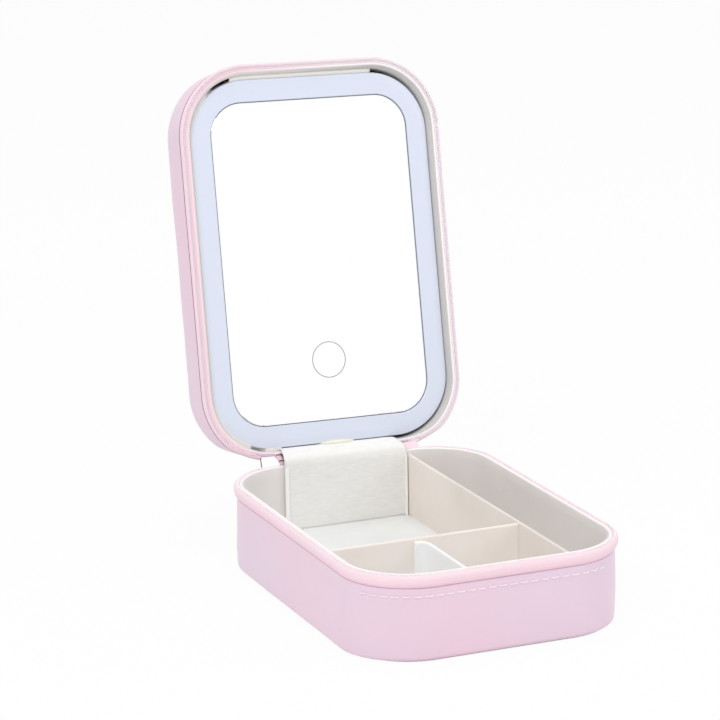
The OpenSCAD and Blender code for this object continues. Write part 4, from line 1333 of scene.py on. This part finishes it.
dress(touch, printed, "lid", "print_grey", "touch_ring")

# %% [markdown]
# ## Fabric band at the mirror's top
#
# A folded band joins the panel's far end to the lid, and shows as an ivory strip above the light frame. It
# follows the panel's end, so it drops where the panel's left corner begins. It is a strip over a folded
# line, with a very small waviness, because a woven band is never straight.

# %% Band
BAND_LEFT, BAND_RIGHT = -46.0, 39.6
band_line = smooth_path([(PANEL_FAR - 0.25, 14.0), (PANEL_FAR - 0.3, PANEL_FACE + 1.4),
                         (PANEL_FAR - 0.55, PANEL_FACE + 0.2), (PANEL_FAR - 1.4, PANEL_FACE - 0.45),
                         (PANEL_FAR - 2.2, PANEL_FACE + 0.2), (PANEL_FAR - 2.55, PANEL_FACE + 1.4),
                         (PANEL_FAR - 2.6, 14.0)], 4)
rows = []
for y, z in band_line:
    row = []
    for i in range(35):
        x = BAND_LEFT + (BAND_RIGHT - BAND_LEFT) * i / 34
        round_corner = 0.9 * (max(-x - STRAIGHT_X, 0.0) / 8.0) ** 2
        row.append((x, y + round_corner, z + 0.12 * noise.noise(Vector((i * 0.4, z, 1.0)))))
    rows.append(row)
dress(strip("mirror_band", rows, 0.6, lid_place), ribbon, "lid", "ribbon", "mirror_hinge_strip")

# %% [markdown]
# ## Pull tab
#
# The pull tab is a doubled ribbon that comes out below the panel. It has been pulled often, so its loop
# gapes in the middle. Two flat ribbons would look like card. So the ribbon goes up one side, round a half
# turn and down the other, and each of its threads is open by how near it is to the middle.

# %% Tab
TAB_HALF, TAB_X, TAB_Y = 10.0, 0.4, 103.62
TAB_SHUT, TAB_OPEN = 0.22, 0.95     # half the gap at the sides, and how much more it is in the middle
TAB_OUT, TAB_SWELL = 0.6, 2.4       # the same for how far its loop stands out
TAB_LEAN = 0.35                     # how far the loop leans away from the hinge
LEG, LOOP = 6, 20                   # rows in each straight leg and in the half turn
LEG_STEP = 1.4                      # distance between the rows of a leg
LEG_SHUTS = 1.2                     # how deep behind the panel's face most of the gap has closed
rows = []
for j in range(2 * LEG + LOOP + 1):
    turn = math.pi * (j - LEG) / LOOP
    row = []
    for i in range(25):
        u = -1 + 2 * i / 24
        gap = TAB_SHUT + TAB_OPEN * (1 - u * u)
        if 0 <= j - LEG <= LOOP:
            y = TAB_Y + gap * math.cos(turn) - TAB_LEAN * math.sin(turn)
            z = PANEL_FACE - (TAB_OUT + TAB_SWELL * (1 - u * u) ** 0.5) * math.sin(turn)
        else:
            deep = LEG_STEP * max(LEG - j, j - LEG - LOOP)
            closing = math.exp(-deep / LEG_SHUTS)
            side = gap * closing + TAB_SHUT * (1 - closing)
            y = TAB_Y + math.copysign(side, LEG - j)
            z = PANEL_FACE + deep
        row.append((TAB_X + TAB_HALF * u, y, z))
    rows.append(row)
dress(strip("pull_ribbon", rows, 0.4, lid_place), tab_ribbon, "lid", "ribbon", "pull_tab")

# %% [markdown]
# ## The end of the chain
#
# At the left of the hinge both tapes end, and the last turns of the coil run on as one wire from the base to
# the lid. A curve object could carry it, but here it is a short tube along a bent line.

# %% Chain tail
wire_foot = Vector((-49.0, 107.4, 45.2))
wire_top = Vector((-48.7, 110.4, 51.0))
bent = (wire_foot + wire_top) / 2 + Vector((0.3, 0.5, 0.2))
points = []
for t in range(13):
    u = t / 12
    points.append(wire_foot * (1 - u) ** 2 + bent * 2 * u * (1 - u) + wire_top * u * u)
chain_tail = tube("chain_tail", points, 0.3)
dress(chain_tail, tail, None, "zipper_teeth")
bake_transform(chain_tail)

# %% [markdown]
# ## Slider and puller
#
# The slider waits at the right end of the chain, behind the case, and its puller hangs straight down. Both
# keep the CAD shapes, which turn about each other. A remodelled slider would gain little at this size, so
# they only get a small bevel, which makes their edges catch the light.

# %% Metal parts
for node in ("zipper_slider", "zipper_puller"):
    bevel = keep(node, metal).modifiers.new("soft edges", "BEVEL")
    bevel.width = 0.12 * MM
    bevel.segments = 2
    bevel.limit_method = "ANGLE"
    bevel.angle_limit = math.radians(50)
print("bevelled the slider and its puller")

# %% [markdown]
# ## Hidden parts
#
# The boards, the foam and the parts behind the mirror stay as the CAD part has them. Nobody sees them while
# the case is whole, so a finish for each is all that they need.

# %% Parts inside
inside = {
    board: ("base_bottom_filler", "base_bottom_board", "base_wall_board", "lid_top_board"),
    foam: ("lid_top_foam", "mirror_rests"),
    shaded_wall_lining: ("lid_top_lining",),
    case_plastic: ("mirror_housing", "mirror_carrier"),
    lamps: ("led_strip",),
    lacquer: ("control_board",),
    pouch: ("battery",),
    copper: ("touch_sensor",),
    steel: ("charging_socket", "housing_screws", "panel_magnets"),
}
for finish, hidden in inside.items():
    for node in hidden:
        keep(node, finish)
    print(finish.made.name, "on", ", ".join(hidden))

# %% [markdown]
# ## Table and backdrop
#
# The case stands on a plain white table that runs on as the backdrop. More light would make it white, but
# would wash out the case. So the camera sees the table mostly as its own white, and the light that falls on
# it still leaves the case's faint shadow.

# %% Table and backdrop
TABLE_HALF = 6000
corners = [(-TABLE_HALF, -TABLE_HALF, 0), (TABLE_HALF, -TABLE_HALF, 0), (TABLE_HALF, TABLE_HALF, 0),
           (-TABLE_HALF, TABLE_HALF, 0)]
table = mesh_object("table", corners, [(0, 1, 2, 3)])
white = Finish("white table", (0.9, 0.9, 0.9, 1), 0.9)
own_white = white.math("MULTIPLY", white.seen_directly(), 0.94)
shining = white.add("Emission", {})
mixed = white.add("MixShader", {0: own_white, 1: white.shader.outputs[0], 2: shining.outputs[0]})
white.links.new(mixed.outputs[0], white.nodes["Material Output"].inputs[0])
table.data.materials.append(white.made)
print("table of", 2 * TABLE_HALF * MM, "m")

# %% [markdown]
# ## World and lamps
#
# In a light tent the whole room is white. An even world alone would leave the case flat, so it is dimmed for
# the light that falls on the case, and three large soft lamps model it: the strongest from the upper left,
# a weaker one from the right and one from above.

# %% World and lamps
world = bpy.data.worlds.new("studio")
bpy.context.scene.world = world
world.use_nodes = True
studio = NodeTree(world.node_tree)
through_glass = studio.add("LightPath", {}).outputs["Is Transmission Ray"]
seen = studio.math("MAXIMUM", studio.seen_directly(), through_glass)
level = studio.add("MapRange", {"Value": seen, "To Min": 0.63, "To Max": 1.0})
sky = studio.nodes["Background"]
sky.inputs["Color"].default_value = (1, 1, 1, 1)
studio.links.new(level.outputs["Result"], sky.inputs["Strength"])


def lamp(name, place, aim, size, power):
    data = bpy.data.lights.new(name, "AREA")
    data.shape = "DISK"
    data.size = size
    data.energy = power
    obj = bpy.data.objects.new(name, data)
    obj.location = place
    obj.rotation_mode = "QUATERNION"
    obj.rotation_quaternion = (Vector(aim) - Vector(place)).to_track_quat("-Z", "Y")
    bpy.context.scene.collection.objects.link(obj)
    print(name, "lamp of", power, "W")


lamp("key", (-1.15, -1.0, 1.5), (0, 0, 0.08), 0.9, 11.5)
lamp("fill", (1.3, -0.8, 0.9), (0, 0, 0.08), 1.0, 4.6)
lamp("top", (0.1, 0.2, 1.7), (0, 0, 0.05), 0.9, 5.0)

# %% [markdown]
# ## Camera
#
# The photograph was taken from the left and a little above, with a long lens, because the case's sides
# hardly converge. A camera that tracks an empty would do as well. Here its place follows from what it looks
# at, its distance and three angles, and these were fitted to the outlines in the photograph.

# %% Camera
AIM = Vector((-47.08, -33.56, 140.19)) * MM
DISTANCE = 1.7
TO_THE_LEFT, ABOVE, ROLL = 22.447, 14.339, -1.078       # in degrees
LENS = 166.41
scene = bpy.context.scene
scene.view_settings.view_transform = "Standard"
camera = bpy.data.objects.new("camera", bpy.data.cameras.new("camera"))
scene.collection.objects.link(camera)
aside = Matrix.Rotation(math.radians(-TO_THE_LEFT), 4, "Z")
tilt = Matrix.Rotation(math.radians(90 - ABOVE), 4, "X")
roll = Matrix.Rotation(math.radians(ROLL), 4, "Z")
camera.matrix_world = Matrix.Translation(AIM) @ aside @ tilt @ roll @ Matrix.Translation((0, 0, DISTANCE))
camera.data.sensor_width = 36.0
camera.data.lens = LENS
camera.data.clip_start = 0.1
camera.data.clip_end = 50.0
scene.camera = camera
print("camera at", [round(x, 3) for x in camera.matrix_world.translation], "m")
